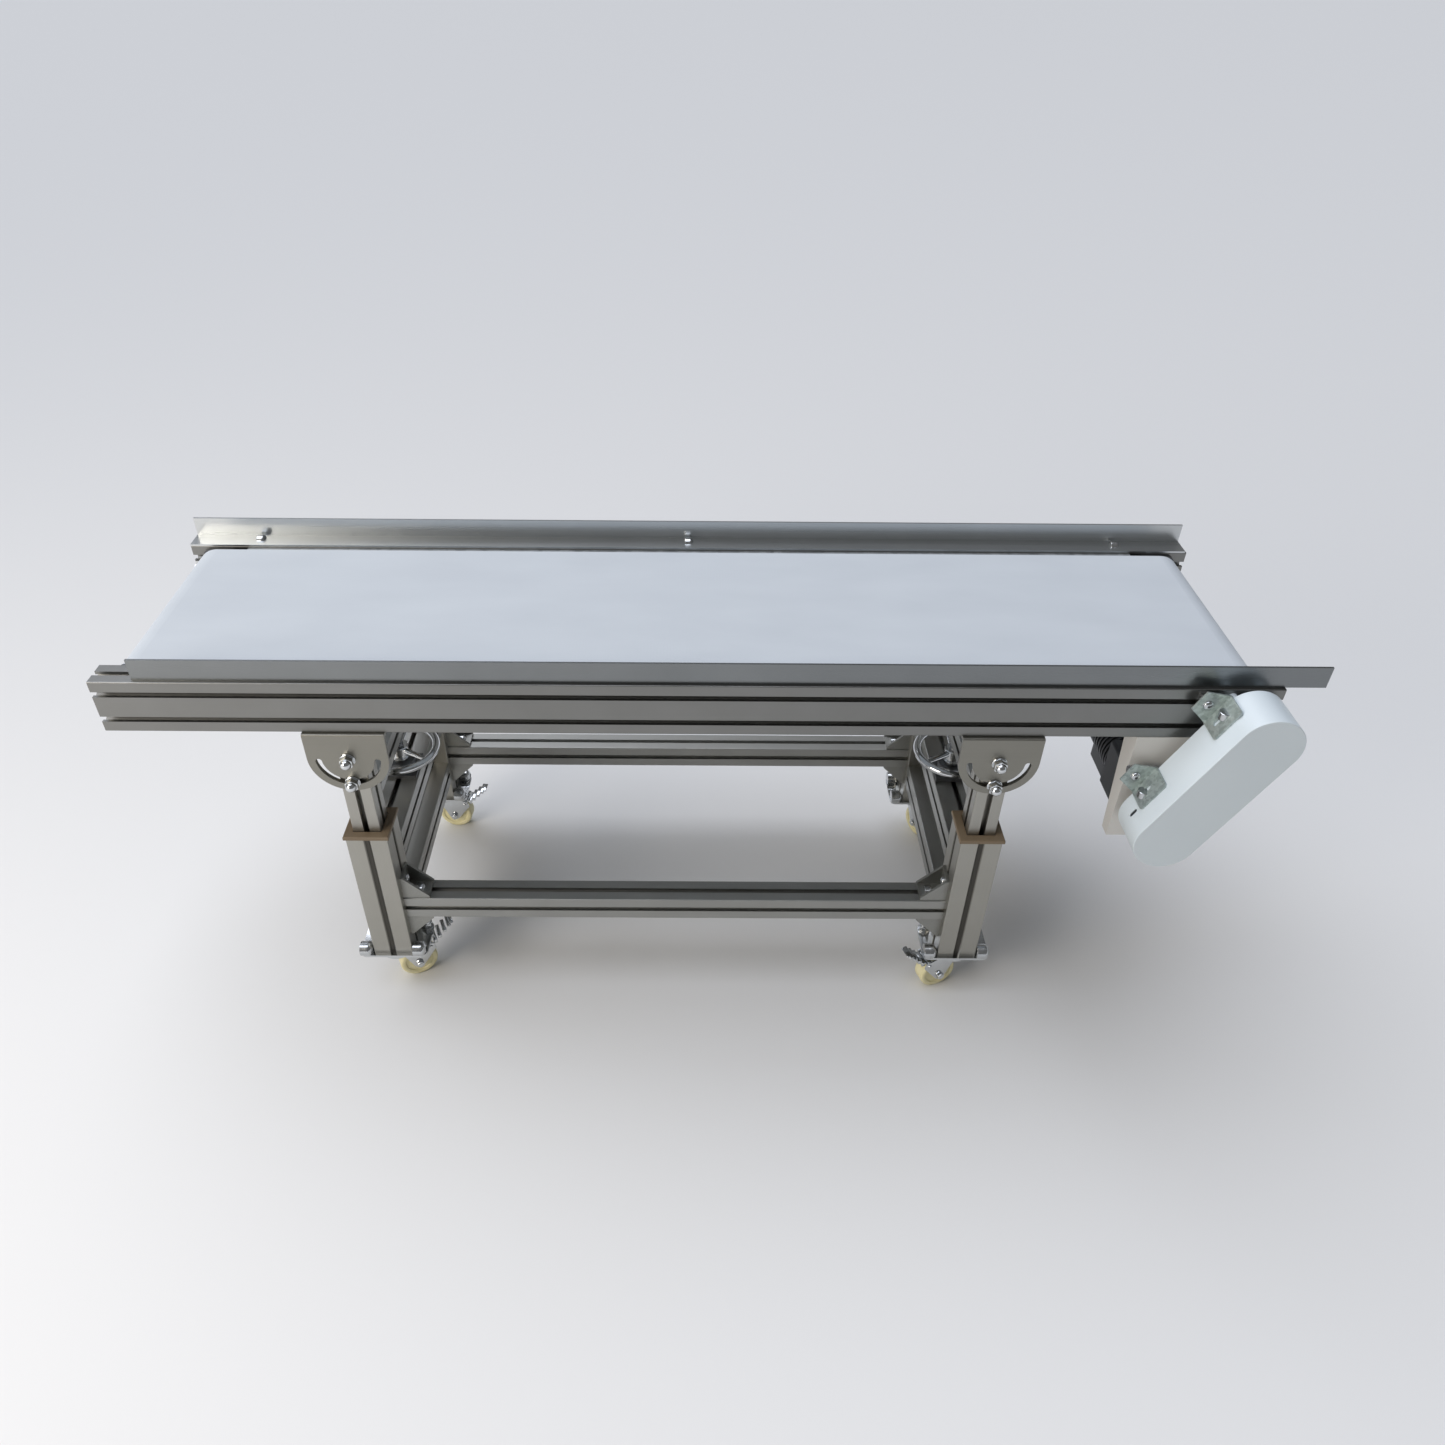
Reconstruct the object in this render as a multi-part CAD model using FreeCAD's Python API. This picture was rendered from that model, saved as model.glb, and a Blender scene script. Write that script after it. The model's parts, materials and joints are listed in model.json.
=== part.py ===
"""Belt conveyor section on a height-adjustable rolling stand.

Lengths are millimetres. While it is being drawn, the model stands on z = 0, with x measured from
the left end of the side rails and y from the outer face of the front rail. write() moves it so
that the origin is the middle of its footprint, at floor level.
"""
import FreeCAD, Part
import math
import os

V = FreeCAD.Vector
X, Y, Z = V(1, 0, 0), V(0, 1, 0), V(0, 0, 1)

# ---- Overall sizes ----
bed_length = 1550.0
bed_width = 400.0
bed_height = 599.0              # floor to the top of the side rails

# ---- Screws: shank and head ----
m6_r = 3.0
m6_head_r = 6.5
m6_head_height = 4.5
m8_r = 4.0
m8_head_r = 7.0
m8_head_height = 5.0
bracket_bolt_head_r = 6.5
bracket_bolt_head_height = 4.0

# ---- Side rails and other slotted aluminium profile ----
rail_width = 40.0
rail_height = 80.0
profile_size = 40.0             # inner posts, lift beams and long beams
slot_mouth = 8.2
slot_lip = 4.5
slot_cavity = 20.0
slot_shoulder = 2.5
slot_depth = 12.3
slot_floor = 11.0
core_bore_r = 3.4
profile_corner = 1.5

# ---- Belt, rollers and the plate that the belt slides on ----
belt_width = 300.0
belt_thickness = 2.0
roller_r = 32.0
roller_inset = 45.0             # roller axis to the end of the rails
roller_shaft_r = 10.0
bearing_half = 25.0             # half the width of a roller bearing plate
slider_thickness = 2.0
slider_flange = 18.0
tie_width = 40.0
tie_height = 26.0
tie_wall = 3.0
slider_end_gap = 12.0           # slider plate to each roller
bearing_rise = 30.0             # half the height of a roller bearing plate
bearing_corner = 8.0
belt_side_gap = 2.0             # bearing plate to the belt's edge
shaft_end_gap = 1.5             # shaft end to the blind side's rail
tension_screw_r = 2.5
tension_head_flats = 7.0
tension_head_height = 4.0
tension_block_length = 8.0
tension_block_rise = 12.0       # half the height of a tension block

# ---- Side guards ----
guard_thickness = 3.0
guard_rise = 31.4               # top of the guard above the rail top
guard_flange = 35.0
guard_set_in = 5.4              # outer face of the guard inside the outer face of the rail
guard_short = 3.0               # guard shorter than the rails
guard_length = bed_length - guard_short
front_guard_shift = 56.0        # the front guard is slid this far towards the drive end
guard_bolt_inset = 105.0

# ---- Legs ----
left_leg = 315.0                # leg axis to the left end of the rails
right_leg_inset = 353.0         # leg axis to the right end of the rails
pivot_drop = 42.0               # pivot axis below the rails
outer_post_size = 60.0
outer_post_wall = 5.0
groove_mouth = 10.0
groove_floor = 5.0
groove_depth = 2.0
pivot_to_post_top = 146.0
cap_size = 65.0
cap_thickness = 6.0
cap_skirt = 14.0
post_overlap = 141.0            # length of inner post inside the outer post
post_above_pivot = 25.0
shoe_thickness = 8.0
shoe_plug = 15.0                # spigot of the shoe inside the post's bore
slide_gap = 0.8                 # inner post and screw clearance, wide enough for the tilt

# ---- Tilt brackets ----
tilt_plate_width = 110.0
tilt_plate_thickness = 6.0
tilt_arc_r = 40.0
tilt_slot_width = 8.8
tilt_slot_half_angle = 85.0
tilt_bolt_r = 4.0
tilt_nut_flats = 17.0
nut_washer = 1.5
tilt_flange_depth = 38.0
tilt_bend_r = 3.0
tilt_bolt_share = 0.3           # each flange bolt from the middle, as a share of the width
t_bolt_half = 7.0               # half the side of a bolt head inside a slot

# ---- Stand ----
upper_beam_width = 60.0
upper_beam_height = 45.0
upper_beam_drop = 44.0          # top of the upper cross beam below the top of the outer post
lower_beam_height = 43.0
lower_beam_rise = 42.0          # bottom of the lower cross beam above the foot of the post
long_beam_rise = 73.0
lift_beam_drop = 60.0           # top of the lift beam below the pivot axis
corner_leg = 40.0
corner_width = 36.0
corner_wall = 4.0
corner_bolt_at = 24.0           # bolt from the corner's bend, on both legs

# ---- Lift screws and handwheels ----
screw_r = 8.0
screw_tip_below_rails = 110.0   # below the rail top
nut_r = 16.0
nut_flange_r = 24.0
nut_flange_height = 8.0
nut_set_in = 8.0                # nut's lower end above the beam's underside
screw_bearing_r = 22.0
screw_bearing_height = 20.0
bearing_flange_half = 28.0
bearing_flange_height = 6.0
screw_hole_gap = 2.5            # radial, lift screw in the cross beam
screw_chamfer = 1.5
wheel_rim_r = 58.0
wheel_rim_tube = 6.0
wheel_hub_r = 15.0
wheel_hub_height = 27.0
wheel_spokes = 3
wheel_spoke_r = 4.5
wheel_rim_drop = 1.0            # top of the rim below the top of the hub

# ---- Casters ----
caster_height = 84.0
caster_wheel_r = 30.0
caster_wheel_width = 24.0
caster_trail = 24.0
caster_plate_x = 104.0
caster_plate_y = 70.0
caster_plate_thickness = 4.0
caster_bolt_x = 41.0
caster_bolt_y = 26.0
caster_nut_flats = 16.0
caster_head_r = 31.0
fork_wall = 3.0
axle_r = 4.0
axle_nut_flats = 11.0
axle_nut_height = 5.0
race_height = 3.0
race_inset = 4.0                # race inside the fork head's edge
kingpin_r = 6.0
fork_over_wheel = 8.0
fork_side_gap = 1.5             # fork cheek to the wheel
pedal_pin_r = 3.0
pedal_pin_behind = 22.0         # pedal pin beyond the axle, away from the swivel axis
pedal_pin_rise = 29.0           # pedal pin above the axle
pedal_side_gap = 0.7            # pedal to the fork's cheeks
wheel_edge_r = 4.0
wheel_dish = 3.0
wheel_dish_rim = 8.0            # tyre wall outside the dish
wheel_boss_r = 9.0
wheel_boss_out = 0.5
caster_headings = {"front_left": 25.0, "front_right": 200.0, "rear_left": -5.0, "rear_right": -60.0}

# ---- Drive ----
chain_drop_angle = 62.5         # slope of the chain drive below the horizontal
chain_centres = 185.0
sprocket_teeth = 16
chain_pitch = 12.7
chain_roller_r = 4.2
chain_plate = 1.2
sprocket_width = 5.0
sprocket_plane = 47.0           # middle of the sprockets in front of the front rail
cover_r = 44.0
cover_wall = 1.5
cover_standoff = 15.0
cover_depth = 65.0
cover_edge_r = 1.2
drive_hole_r = 12.5
backplate_hole_r = 18.0
backplate_stud_r = 6.0
backplate_stud_at = 22.5         # studs beside and above or below each axis
sprocket_tip = 2.6              # tooth tips outside the pitch circle
sprocket_hub = 9.0              # hub wall around the shaft
sprocket_hub_length = 13.0
shaft_beyond = 5.0              # shafts in front of their sprockets
chain_half = 4.0                # half the height of a link plate
keyhole_at = 184.0              # small slot in the cover's upper side, along the chain line
keyhole_depth = 43.0
keyhole_length = 9.0
keyhole_width = 5.0
gearbox_size = 80.0
gearbox_depth = 70.0
gearbox_corner = 5.0
shaft_in_gearbox = 18.0         # length of the output shaft inside the gearbox
shaft_offset = 15.0             # output shaft below the middle of the gearbox
motor_r = 39.0
motor_length = 130.0
motor_rib = 4.0
motor_rib_pitch = 8.0
motor_rib_depth = 3.0
motor_cap_length = 20.0
terminal_half = 24.0            # half the width of the terminal box
terminal_start = 30.0           # terminal box behind the gearbox
terminal_length = 55.0
terminal_drop = 18.0
motor_shaft_r = 7.0
motor_plate = 3.0
motor_plate_drop = 180.0        # motor bracket's foot below the rails
motor_bolt_inset = 18.0         # bracket bolt holes from its sides
motor_shaft_gap = 8.0           # radial, output shaft in the bracket
motor_flange_top = 40.0
motor_flange_foot = 19.0
angle_leg = 36.0
angle_thickness = 2.5
angle_length = 50.0
angle_corner = 3.0
angle_taper = 10.0
angle_places = (9.0, 146.0)     # middle of each cover angle along the chain line
angle_bolt_shifts = (-2.0, 13.0)
angle_slot_shifts = (7.0, -7.0)
angle_slot_length = 14.0
angle_slot_width = 6.6
angle_front_bolt = 18.0         # bolt towards the rail, above the cover's side
bush_r = 7.0

# ---- Clearances ----
running = 0.05                  # radial, shaft in bearing
apart = 0.3                     # between bodies that move past each other
bolt_gap = 0.2                  # radial, bolt in its hole

# ---- Places worked out from the sizes above ----
belt_r = roller_r + apart + belt_thickness
roller_z = bed_height - belt_r
tail_x = roller_inset
drive_x = bed_length - roller_inset
rails_bottom = bed_height - rail_height
mid_y = bed_width / 2
front_leg_y = rail_width / 2
rear_leg_y = bed_width - rail_width / 2
right_leg = bed_length - right_leg_inset
leg_axes = {"left": left_leg, "right": right_leg}
leg_rows = {"front": front_leg_y, "rear": rear_leg_y}
pivot_z = rails_bottom - pivot_drop
post_foot = caster_height
post_top = pivot_z - pivot_to_post_top
cap_top = post_top + cap_thickness
outer_half = outer_post_size / 2
inner_half = profile_size / 2
upper_beam_top = post_top - upper_beam_drop
lower_beam_foot = post_foot + lower_beam_rise
long_beam_foot = post_foot + long_beam_rise
lift_beam_top = pivot_z - lift_beam_drop
plate_back = apart                       # tilt plate's inner face in front of the rail face
plate_front = plate_back + tilt_plate_thickness
chain_dir = V(-math.cos(math.radians(chain_drop_angle)), 0, -math.sin(math.radians(chain_drop_angle)))
chain_out = V(-math.sin(math.radians(chain_drop_angle)), 0, math.cos(math.radians(chain_drop_angle)))
cover_turn = FreeCAD.Rotation(chain_dir, -Y, chain_out, "XYZ")   # along, away from and up off the cover
drive_axis = V(drive_x, 0, roller_z)
motor_axis = drive_axis + chain_dir * chain_centres
sprocket_pitch_r = chain_pitch / (2 * math.sin(math.pi / sprocket_teeth))
cover_front = cover_standoff + cover_depth
shaft_front = -(sprocket_plane + sprocket_width / 2 + shaft_beyond)
bearing_depth = (bed_width - 2 * rail_width - belt_width) / 2 - belt_side_gap
angle_bolt_depth = cover_standoff + angle_leg * 0.45
post_slide_foot = post_top - post_overlap        # lower end of the sliding posts
hub_foot = upper_beam_top + screw_bearing_height + apart
motor_box_left = motor_axis.x - gearbox_size / 2 - apart - motor_plate
motor_box_right = motor_axis.x + gearbox_size / 2 + apart + motor_plate
motor_middle = motor_axis + Z * shaft_offset
fork_head_top = caster_height - caster_plate_thickness - race_height - apart
fork_head_bottom = 2 * caster_wheel_r + fork_over_wheel
pedal_pin_x = caster_trail + pedal_pin_behind    # from the swivel axis
pedal_pin_z = caster_wheel_r + pedal_pin_rise
foot_low = V(0, -cover_front, 0)


# ---- Drawing helpers ----
def slab(x0, x1, y0, y1, z0, z1):
    """A box between two corners."""
    return Part.makeBox(x1 - x0, y1 - y0, z1 - z0, V(x0, y0, z0))


def rod(r, start, direction, length):
    """A cylinder from a start point along a direction."""
    return Part.makeCylinder(r, length, start, direction)


def outline(points):
    """A flat face with straight sides."""
    return Part.Face(Part.makePolygon(list(points) + [points[0]]))


def hexagon(flats, start, direction, length):
    """A hexagonal prism, such as a nut or a bolt head."""
    r = flats / math.sqrt(3)
    base = outline([V(r * math.cos(math.radians(60 * i)), r * math.sin(math.radians(60 * i)), 0)
                    for i in range(6)])
    prism = base.extrude(Z * length)
    prism.Placement = FreeCAD.Placement(start, FreeCAD.Rotation(Z, direction))
    return prism


def acorn_length(flats):
    """How far a domed nut stands out."""
    return nut_washer + (0.5 + 0.46) * flats


def acorn(flats, start, direction):
    """A domed nut with its washer face at the start point."""
    washer = nut_washer
    hex_height = 0.5 * flats
    dome_r = 0.46 * flats
    body = rod(0.62 * flats, start, direction, washer)
    body = body.fuse(hexagon(flats, start + direction * washer, direction, hex_height))
    dome = Part.makeSphere(dome_r, start + direction * (washer + hex_height))
    keep = rod(flats, start + direction * washer, direction, 2 * flats)
    return body.fuse(dome.common(keep)).removeSplitter()


def button_bolt(r, head_r, head_height, seat, direction, length):
    """A domed screw: the head stands on the seat and the shank goes the other way."""
    head = rod(head_r, seat, direction, head_height)
    rim = [e for e in head.Edges if abs((e.CenterOfMass - seat).dot(direction) - head_height) < 0.01
           and len(e.Vertexes) == 1]
    head = head.makeFillet(0.6 * head_height, rim)
    return head.fuse(rod(r, seat, -direction, length))


def slot_cut(depth_dir, at):
    """The T-shaped space of one profile slot, as a face in the profile's own plane."""
    side = V(depth_dir.y, -depth_dir.x, 0)
    m, c, f = slot_mouth / 2, slot_cavity / 2, slot_floor / 2
    steps = [(m, -1.0), (m, slot_lip), (c, slot_lip), (c, slot_lip + slot_shoulder), (f, slot_depth)]
    points = [at + side * s + depth_dir * d for s, d in steps]
    points += [at - side * s + depth_dir * d for s, d in reversed(steps)]
    return outline(points)


def slotted_profile(width, height, length, cells=None):
    """A slotted extrusion along z, centred on the axis; cells are the slot rows on the tall sides."""
    w, h = width / 2, height / 2
    block = slab(-w, w, -h, h, 0, 1)
    block = block.makeFillet(profile_corner, [e for e in block.Edges if e.tangentAt(0).cross(Z).Length < 0.01])
    face = [f for f in block.Faces if abs(f.CenterOfMass.z) < 1e-6][0]
    rows = cells or [0.0]
    cuts = [slot_cut(V(0, -1, 0), V(0, h, 0)), slot_cut(V(0, 1, 0), V(0, -h, 0))]
    for row in rows:
        cuts.append(slot_cut(V(-1, 0, 0), V(w, row, 0)))
        cuts.append(slot_cut(V(1, 0, 0), V(-w, row, 0)))
        cuts.append(Part.Face(Part.Wire(Part.makeCircle(core_bore_r, V(0, row, 0)))))
    face = face.cut(cuts)
    return face.extrude(Z * length)


def grooved_tube(length):
    """The square outer post: a tube with a shallow groove down each face."""
    w = outer_half
    tube = slab(-w, w, -w, w, 0, length)
    tube = tube.makeFillet(profile_corner, [e for e in tube.Edges if e.tangentAt(0).cross(Z).Length < 0.01])
    hole = w - outer_post_wall
    tube = tube.cut(slab(-hole, hole, -hole, hole, -1, length + 1))
    for turn in range(4):
        a, b = groove_mouth / 2, groove_floor / 2
        face = outline([V(-a, w + 0.5, -1), V(-a, w, -1), V(-b, w - groove_depth, -1),
                        V(b, w - groove_depth, -1), V(a, w, -1), V(a, w + 0.5, -1)])
        groove = face.extrude(Z * (length + 2))
        groove.rotate(V(0, 0, 0), Z, 90 * turn)
        tube = tube.cut(groove)
    return tube


def lay_along_x(shape, start):
    """Turn a shape drawn along z to run along x, its own x becoming y and its y becoming z."""
    shape.Placement = FreeCAD.Placement(start, FreeCAD.Rotation(V(1, 1, 1), 120))
    return shape


def lay_along_y(shape, start):
    """Turn a shape drawn along z to run along y, its own x becoming z and its y becoming x."""
    shape.Placement = FreeCAD.Placement(start, FreeCAD.Rotation(V(1, 1, 1), 240))
    return shape


def stadium(r, start_y, end_y, centres=(None, None)):
    """A round-ended block along y around two axes, by default those of the chain drive."""
    a = centres[0] or drive_axis
    b = centres[1] or motor_axis
    along = (b - a).normalize()
    out = V(along.z, 0, -along.x)
    a0, b0 = a + Y * start_y, b + Y * start_y
    path = [Part.LineSegment(a0 + out * r, b0 + out * r).toShape(),
            Part.Arc(b0 + out * r, b0 + along * r, b0 - out * r).toShape(),
            Part.LineSegment(b0 - out * r, a0 - out * r).toShape(),
            Part.Arc(a0 - out * r, a0 - along * r, a0 + out * r).toShape()]
    return Part.Face(Part.Wire(path)).extrude(Y * (end_y - start_y))


def footprint_middle():
    """Middle of the whole object's footprint: guards and rails end to end, cover to rear nuts."""
    high = V(front_guard_shift + guard_length,
             bed_width + plate_front + apart + acorn_length(tilt_nut_flats), 0)
    return (foot_low + high) / 2


def mirrored(shape):
    """The same piece on the other side of the conveyor's middle plane."""
    return shape.mirror(V(0, mid_y, 0), Y)


def write(name, shapes):
    """Move the finished piece to the shared origin and save it."""
    shapes = shapes if isinstance(shapes, list) else [shapes]
    solids = [solid for shape in shapes for solid in shape.Solids]
    whole = solids[0] if len(solids) == 1 else Part.makeCompound(solids)
    whole.translate(-footprint_middle())
    whole.exportStep("parts/" + name + ".step")
    print(name, len(solids), "solids", round(whole.Volume / 1000, 1), "cm3")


# ---- Bed ----
def front_rail():
    """Side rail with a hole for the drive shaft."""
    cells = [-rail_height / 4, rail_height / 4]
    rail = slotted_profile(rail_width, rail_height, bed_length, cells)
    rail = lay_along_x(rail, V(0, rail_width / 2, rails_bottom + rail_height / 2))
    return rail.cut(rod(drive_hole_r, V(drive_x, -1, roller_z), Y, rail_width + 2))


def rear_rail():
    """Side rail on the side away from the drive."""
    cells = [-rail_height / 4, rail_height / 4]
    rail = slotted_profile(rail_width, rail_height, bed_length, cells)
    return lay_along_x(rail, V(0, bed_width - rail_width / 2, rails_bottom + rail_height / 2))


def guard_bolt_xs(start):
    """The three bolts of a guard: one near each end and one in the middle."""
    return [start + guard_bolt_inset, start + guard_length / 2, start + guard_length - guard_bolt_inset]


def side_guard(start):
    """An angle standing on the front rail, with its foot towards the belt."""
    y0, y1 = guard_set_in, guard_set_in + guard_flange
    wall = slab(start, start + guard_length, y0, y0 + guard_thickness, bed_height, bed_height + guard_rise)
    foot = slab(start, start + guard_length, y0, y1, bed_height, bed_height + guard_thickness)
    guard = wall.fuse(foot).removeSplitter()
    for x in guard_bolt_xs(start):
        guard = guard.cut(rod(m6_r + bolt_gap, V(x, rail_width / 2, bed_height - 1), Z, guard_thickness + 2))
    return guard


def guard_bolts(start):
    """Screws through the guard's foot into the slot on top of the rail."""
    seat = bed_height + guard_thickness
    return [button_bolt(m6_r, m6_head_r, m6_head_height, V(x, rail_width / 2, seat), Z, guard_thickness + 9.0)
            for x in guard_bolt_xs(start)]


def conveyor_belt():
    """The endless belt around both rollers."""
    ends = (V(drive_x, 0, roller_z), V(tail_x, 0, roller_z))
    y0 = mid_y - belt_width / 2
    outside = stadium(belt_r, y0, y0 + belt_width, ends)
    inside = stadium(belt_r - belt_thickness, y0 - 1, y0 + belt_width + 1, ends)
    return outside.cut(inside)


def slider_bed():
    """Flat sheet under the top run, folded down against both rails."""
    x0, x1 = tail_x + roller_r + slider_end_gap, drive_x - roller_r - slider_end_gap
    top = bed_height - belt_thickness
    y0, y1 = rail_width, bed_width - rail_width
    plate = slab(x0, x1, y0, y1, top - slider_thickness, top)
    fold = slab(x0, x1, y0, y0 + slider_thickness, top - slider_flange, top)
    other = slab(x0, x1, y1 - slider_thickness, y1, top - slider_flange, top)
    return plate.fuse([fold, other]).removeSplitter()


def cross_ties():
    """Rectangular tubes that hold the rails apart, inside the belt loop."""
    ties = []
    top = bed_height - belt_thickness - slider_flange
    span = (drive_x - tail_x) / 4
    for i in range(3):
        x = tail_x + span * (i + 1)
        y0, y1 = rail_width, bed_width - rail_width
        tube = slab(x - tie_width / 2, x + tie_width / 2, y0, y1, top - tie_height, top)
        half = tie_width / 2
        hollow = slab(x - half + tie_wall, x + half - tie_wall, y0 - 1, y1 + 1,
                      top - tie_height + tie_wall, top - tie_wall)
        legs = slab(x - half, x + half, y0 + slider_thickness, y0 + slider_thickness + tie_wall,
                    top, bed_height - belt_thickness - slider_thickness)
        tubes = tube.cut(hollow).fuse([legs, mirrored(legs)])
        ties.append(tubes.removeSplitter())
    return ties


def roller_bearings():
    """A flanged bearing plate on the rail's inner face at each roller end."""
    plates = []
    for x in (tail_x, drive_x):
        plate = slab(x - bearing_half, x + bearing_half, rail_width, rail_width + bearing_depth,
                     roller_z - bearing_rise, roller_z + bearing_rise)
        edges = [e for e in plate.Edges if e.tangentAt(0).cross(Y).Length < 0.01]
        plate = plate.makeFillet(bearing_corner, edges)
        bore = rod(roller_shaft_r + running, V(x, rail_width - 1, roller_z), Y, bearing_depth + 2)
        plate = plate.cut(bore)
        plates += [plate, mirrored(plate)]
    return plates


def tension_screws():
    """Belt tension screws, in blocks on the tail ends of the rails."""
    pieces = []
    seat = tension_head_height
    tip = tail_x - bearing_half
    block = slab(seat, seat + tension_block_length, rail_width, rail_width + bearing_depth,
                 roller_z - tension_block_rise, roller_z + tension_block_rise)
    at_y = rail_width + bearing_depth / 2
    screw = rod(tension_screw_r, V(seat, at_y, roller_z), X, tip - seat)
    screw = screw.fuse(hexagon(tension_head_flats, V(0, at_y, roller_z), X, seat))
    block = block.cut(rod(tension_screw_r + bolt_gap, V(0, at_y, roller_z), X, tip))
    pieces += [block, screw, mirrored(block), mirrored(screw)]
    return pieces


def roller(x, front_end):
    """A belt roller with its shaft; the front end of the shaft is given."""
    y0 = mid_y - belt_width / 2
    drum = rod(roller_r, V(x, y0, roller_z), Y, belt_width)
    drum = drum.makeFillet(2.0, [e for e in drum.Edges if len(e.Vertexes) == 1])
    rear_end = bed_width - rail_width - shaft_end_gap
    shaft = rod(roller_shaft_r, V(x, front_end, roller_z), Y, rear_end - front_end)
    return drum.fuse(shaft)


# ---- Chain drive ----
def sprocket(axis, shaft_r, bore_gap):
    """A toothed disc with a hub, its teeth lined up with the chain."""
    mid = -sprocket_plane
    tip = sprocket_pitch_r + sprocket_tip
    disc = rod(tip, axis + Y * (mid - sprocket_width / 2), Y, sprocket_width)
    seats = []
    for i in range(sprocket_teeth):
        turn = 2 * math.pi * (i + 0.5) / sprocket_teeth
        seat = chain_dir * (sprocket_pitch_r * math.cos(turn)) + chain_out * (sprocket_pitch_r * math.sin(turn))
        seats.append(rod(chain_roller_r, axis + seat + Y * (mid - sprocket_width), Y, 2 * sprocket_width))
    disc = disc.cut(seats)
    disc = disc.fuse(rod(shaft_r + sprocket_hub, axis + Y * mid, Y, sprocket_width / 2 + sprocket_hub_length))
    return disc.cut(rod(shaft_r + bore_gap, axis + Y * (mid - 20), Y, 60))


def motor_shaft():
    """Gearbox output shaft, from inside the gearbox to the end of its sprocket."""
    return rod(motor_shaft_r, motor_axis + Y * shaft_front, Y, motor_plate + shaft_in_gearbox - shaft_front)


def drive_chain():
    """Link plates each side of the teeth, joined by rollers on the straight runs."""
    inner, outer = sprocket_pitch_r - chain_half, sprocket_pitch_r + chain_half
    gap = sprocket_width / 2 + apart
    mid = -sprocket_plane
    rows = []
    for y0 in (mid - gap - chain_plate, mid + gap):
        rows.append(stadium(outer, y0, y0 + chain_plate).cut(stadium(inner, y0 - 1, y0 + chain_plate + 1)))
    pins = []
    count = int((chain_centres - 4 * chain_pitch) / chain_pitch) + 1
    first = (chain_centres - (count - 1) * chain_pitch) / 2
    for side in (1, -1):
        for i in range(count):
            along = first + i * chain_pitch
            at = drive_axis + chain_dir * along + chain_out * (side * sprocket_pitch_r)
            pins.append(rod(chain_roller_r - 0.6, at + Y * (mid - gap - 0.2), Y, 2 * gap + 0.4))
    return rows[0].fuse([rows[1]] + pins)


def wall_slot(along, depth, length, width):
    """A slot through the cover's upper long side."""
    a = drive_axis + chain_dir * (along - length / 2) + Y * (-depth)
    b = drive_axis + chain_dir * (along + length / 2) + Y * (-depth)
    far = cover_r - 10
    ends = [rod(width / 2, p + chain_out * far, chain_out, 30) for p in (a, b)]
    bar = Part.makeBox(length, width, 30)
    bar.Placement = FreeCAD.Placement(a + chain_out * far + Y * (width / 2), cover_turn)
    return ends[0].fuse([ends[1], bar])


def drive_cover():
    """The round-ended sheet cover over the chain, open towards the rail."""
    shell = stadium(cover_r, -cover_front, -cover_standoff)
    rim = [e for e in shell.Edges if abs(e.CenterOfMass.y + cover_front) < 0.01]
    shell = shell.makeFillet(cover_edge_r, rim)
    shell = shell.cut(stadium(cover_r - cover_wall, -cover_front + cover_wall, -cover_standoff + 1))
    for along, depth in angle_bolts():
        foot = drive_axis + chain_dir * along - Y * depth
        shell = shell.cut(rod(m6_r + bolt_gap, foot, chain_out, cover_r + 5))
    return shell.cut(wall_slot(keyhole_at, keyhole_depth, keyhole_length, keyhole_width))


def cover_backplate():
    """Back of the chain cover, on studs that stand on the rail and the motor bracket."""
    plate = stadium(cover_r - cover_wall - 0.2, -cover_standoff - cover_wall, -cover_standoff)
    for axis in (drive_axis, motor_axis):
        plate = plate.cut(rod(backplate_hole_r, axis - Y * (cover_standoff + 5), Y, 10))
    studs = []
    for axis, up in ((drive_axis, 1), (motor_axis, -1)):
        for side in (-1, 1):
            at = axis + V(side, 0, up) * backplate_stud_at
            studs.append(rod(backplate_stud_r, at - Y * (cover_standoff + 0.5), Y, cover_standoff + 0.5))
    return plate.fuse(studs)


def angle_bolts():
    """Bolt of each cover angle: distance along the chain line, and in front of the rail."""
    return [(place + shift, angle_bolt_depth) for place, shift in zip(angle_places, angle_bolt_shifts)]


def cover_angles():
    """Slotted sheet angles that carry the cover: one leg on its long side, one towards the rail."""
    pieces = []
    for place, slot_shift, (along, depth) in zip(angle_places, angle_slot_shifts, angle_bolts()):
        half = angle_length / 2
        far, near = angle_leg - angle_corner, half - angle_corner
        on_cover = outline([V(-half, 0, 0), V(half, 0, 0), V(half, far, 0), V(near, angle_leg, 0),
                            V(-near, angle_leg, 0), V(-half, far, 0)])
        on_cover = on_cover.extrude(Z * angle_thickness)
        up, tapered = angle_leg - 4, half - angle_taper
        to_rail = outline([V(-half, 0, 0), V(half, 0, 0), V(tapered, 0, up), V(-tapered, 0, up)])
        to_rail = to_rail.extrude(Y * -angle_thickness)
        angle = on_cover.fuse(to_rail)
        bend = drive_axis + chain_dir * place + chain_out * cover_r - Y * cover_standoff
        angle.Placement = FreeCAD.Placement(bend, cover_turn)
        slots = [wall_slot(along + slot_shift, depth, angle_slot_length, angle_slot_width)]
        at = drive_axis + chain_dir * place + chain_out * (cover_r + angle_front_bolt)
        slots.append(rod(m6_r + bolt_gap, at - Y * (cover_standoff + 5), Y, cover_standoff + 5))
        pieces.append(angle.cut(slots))
    return pieces


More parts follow.
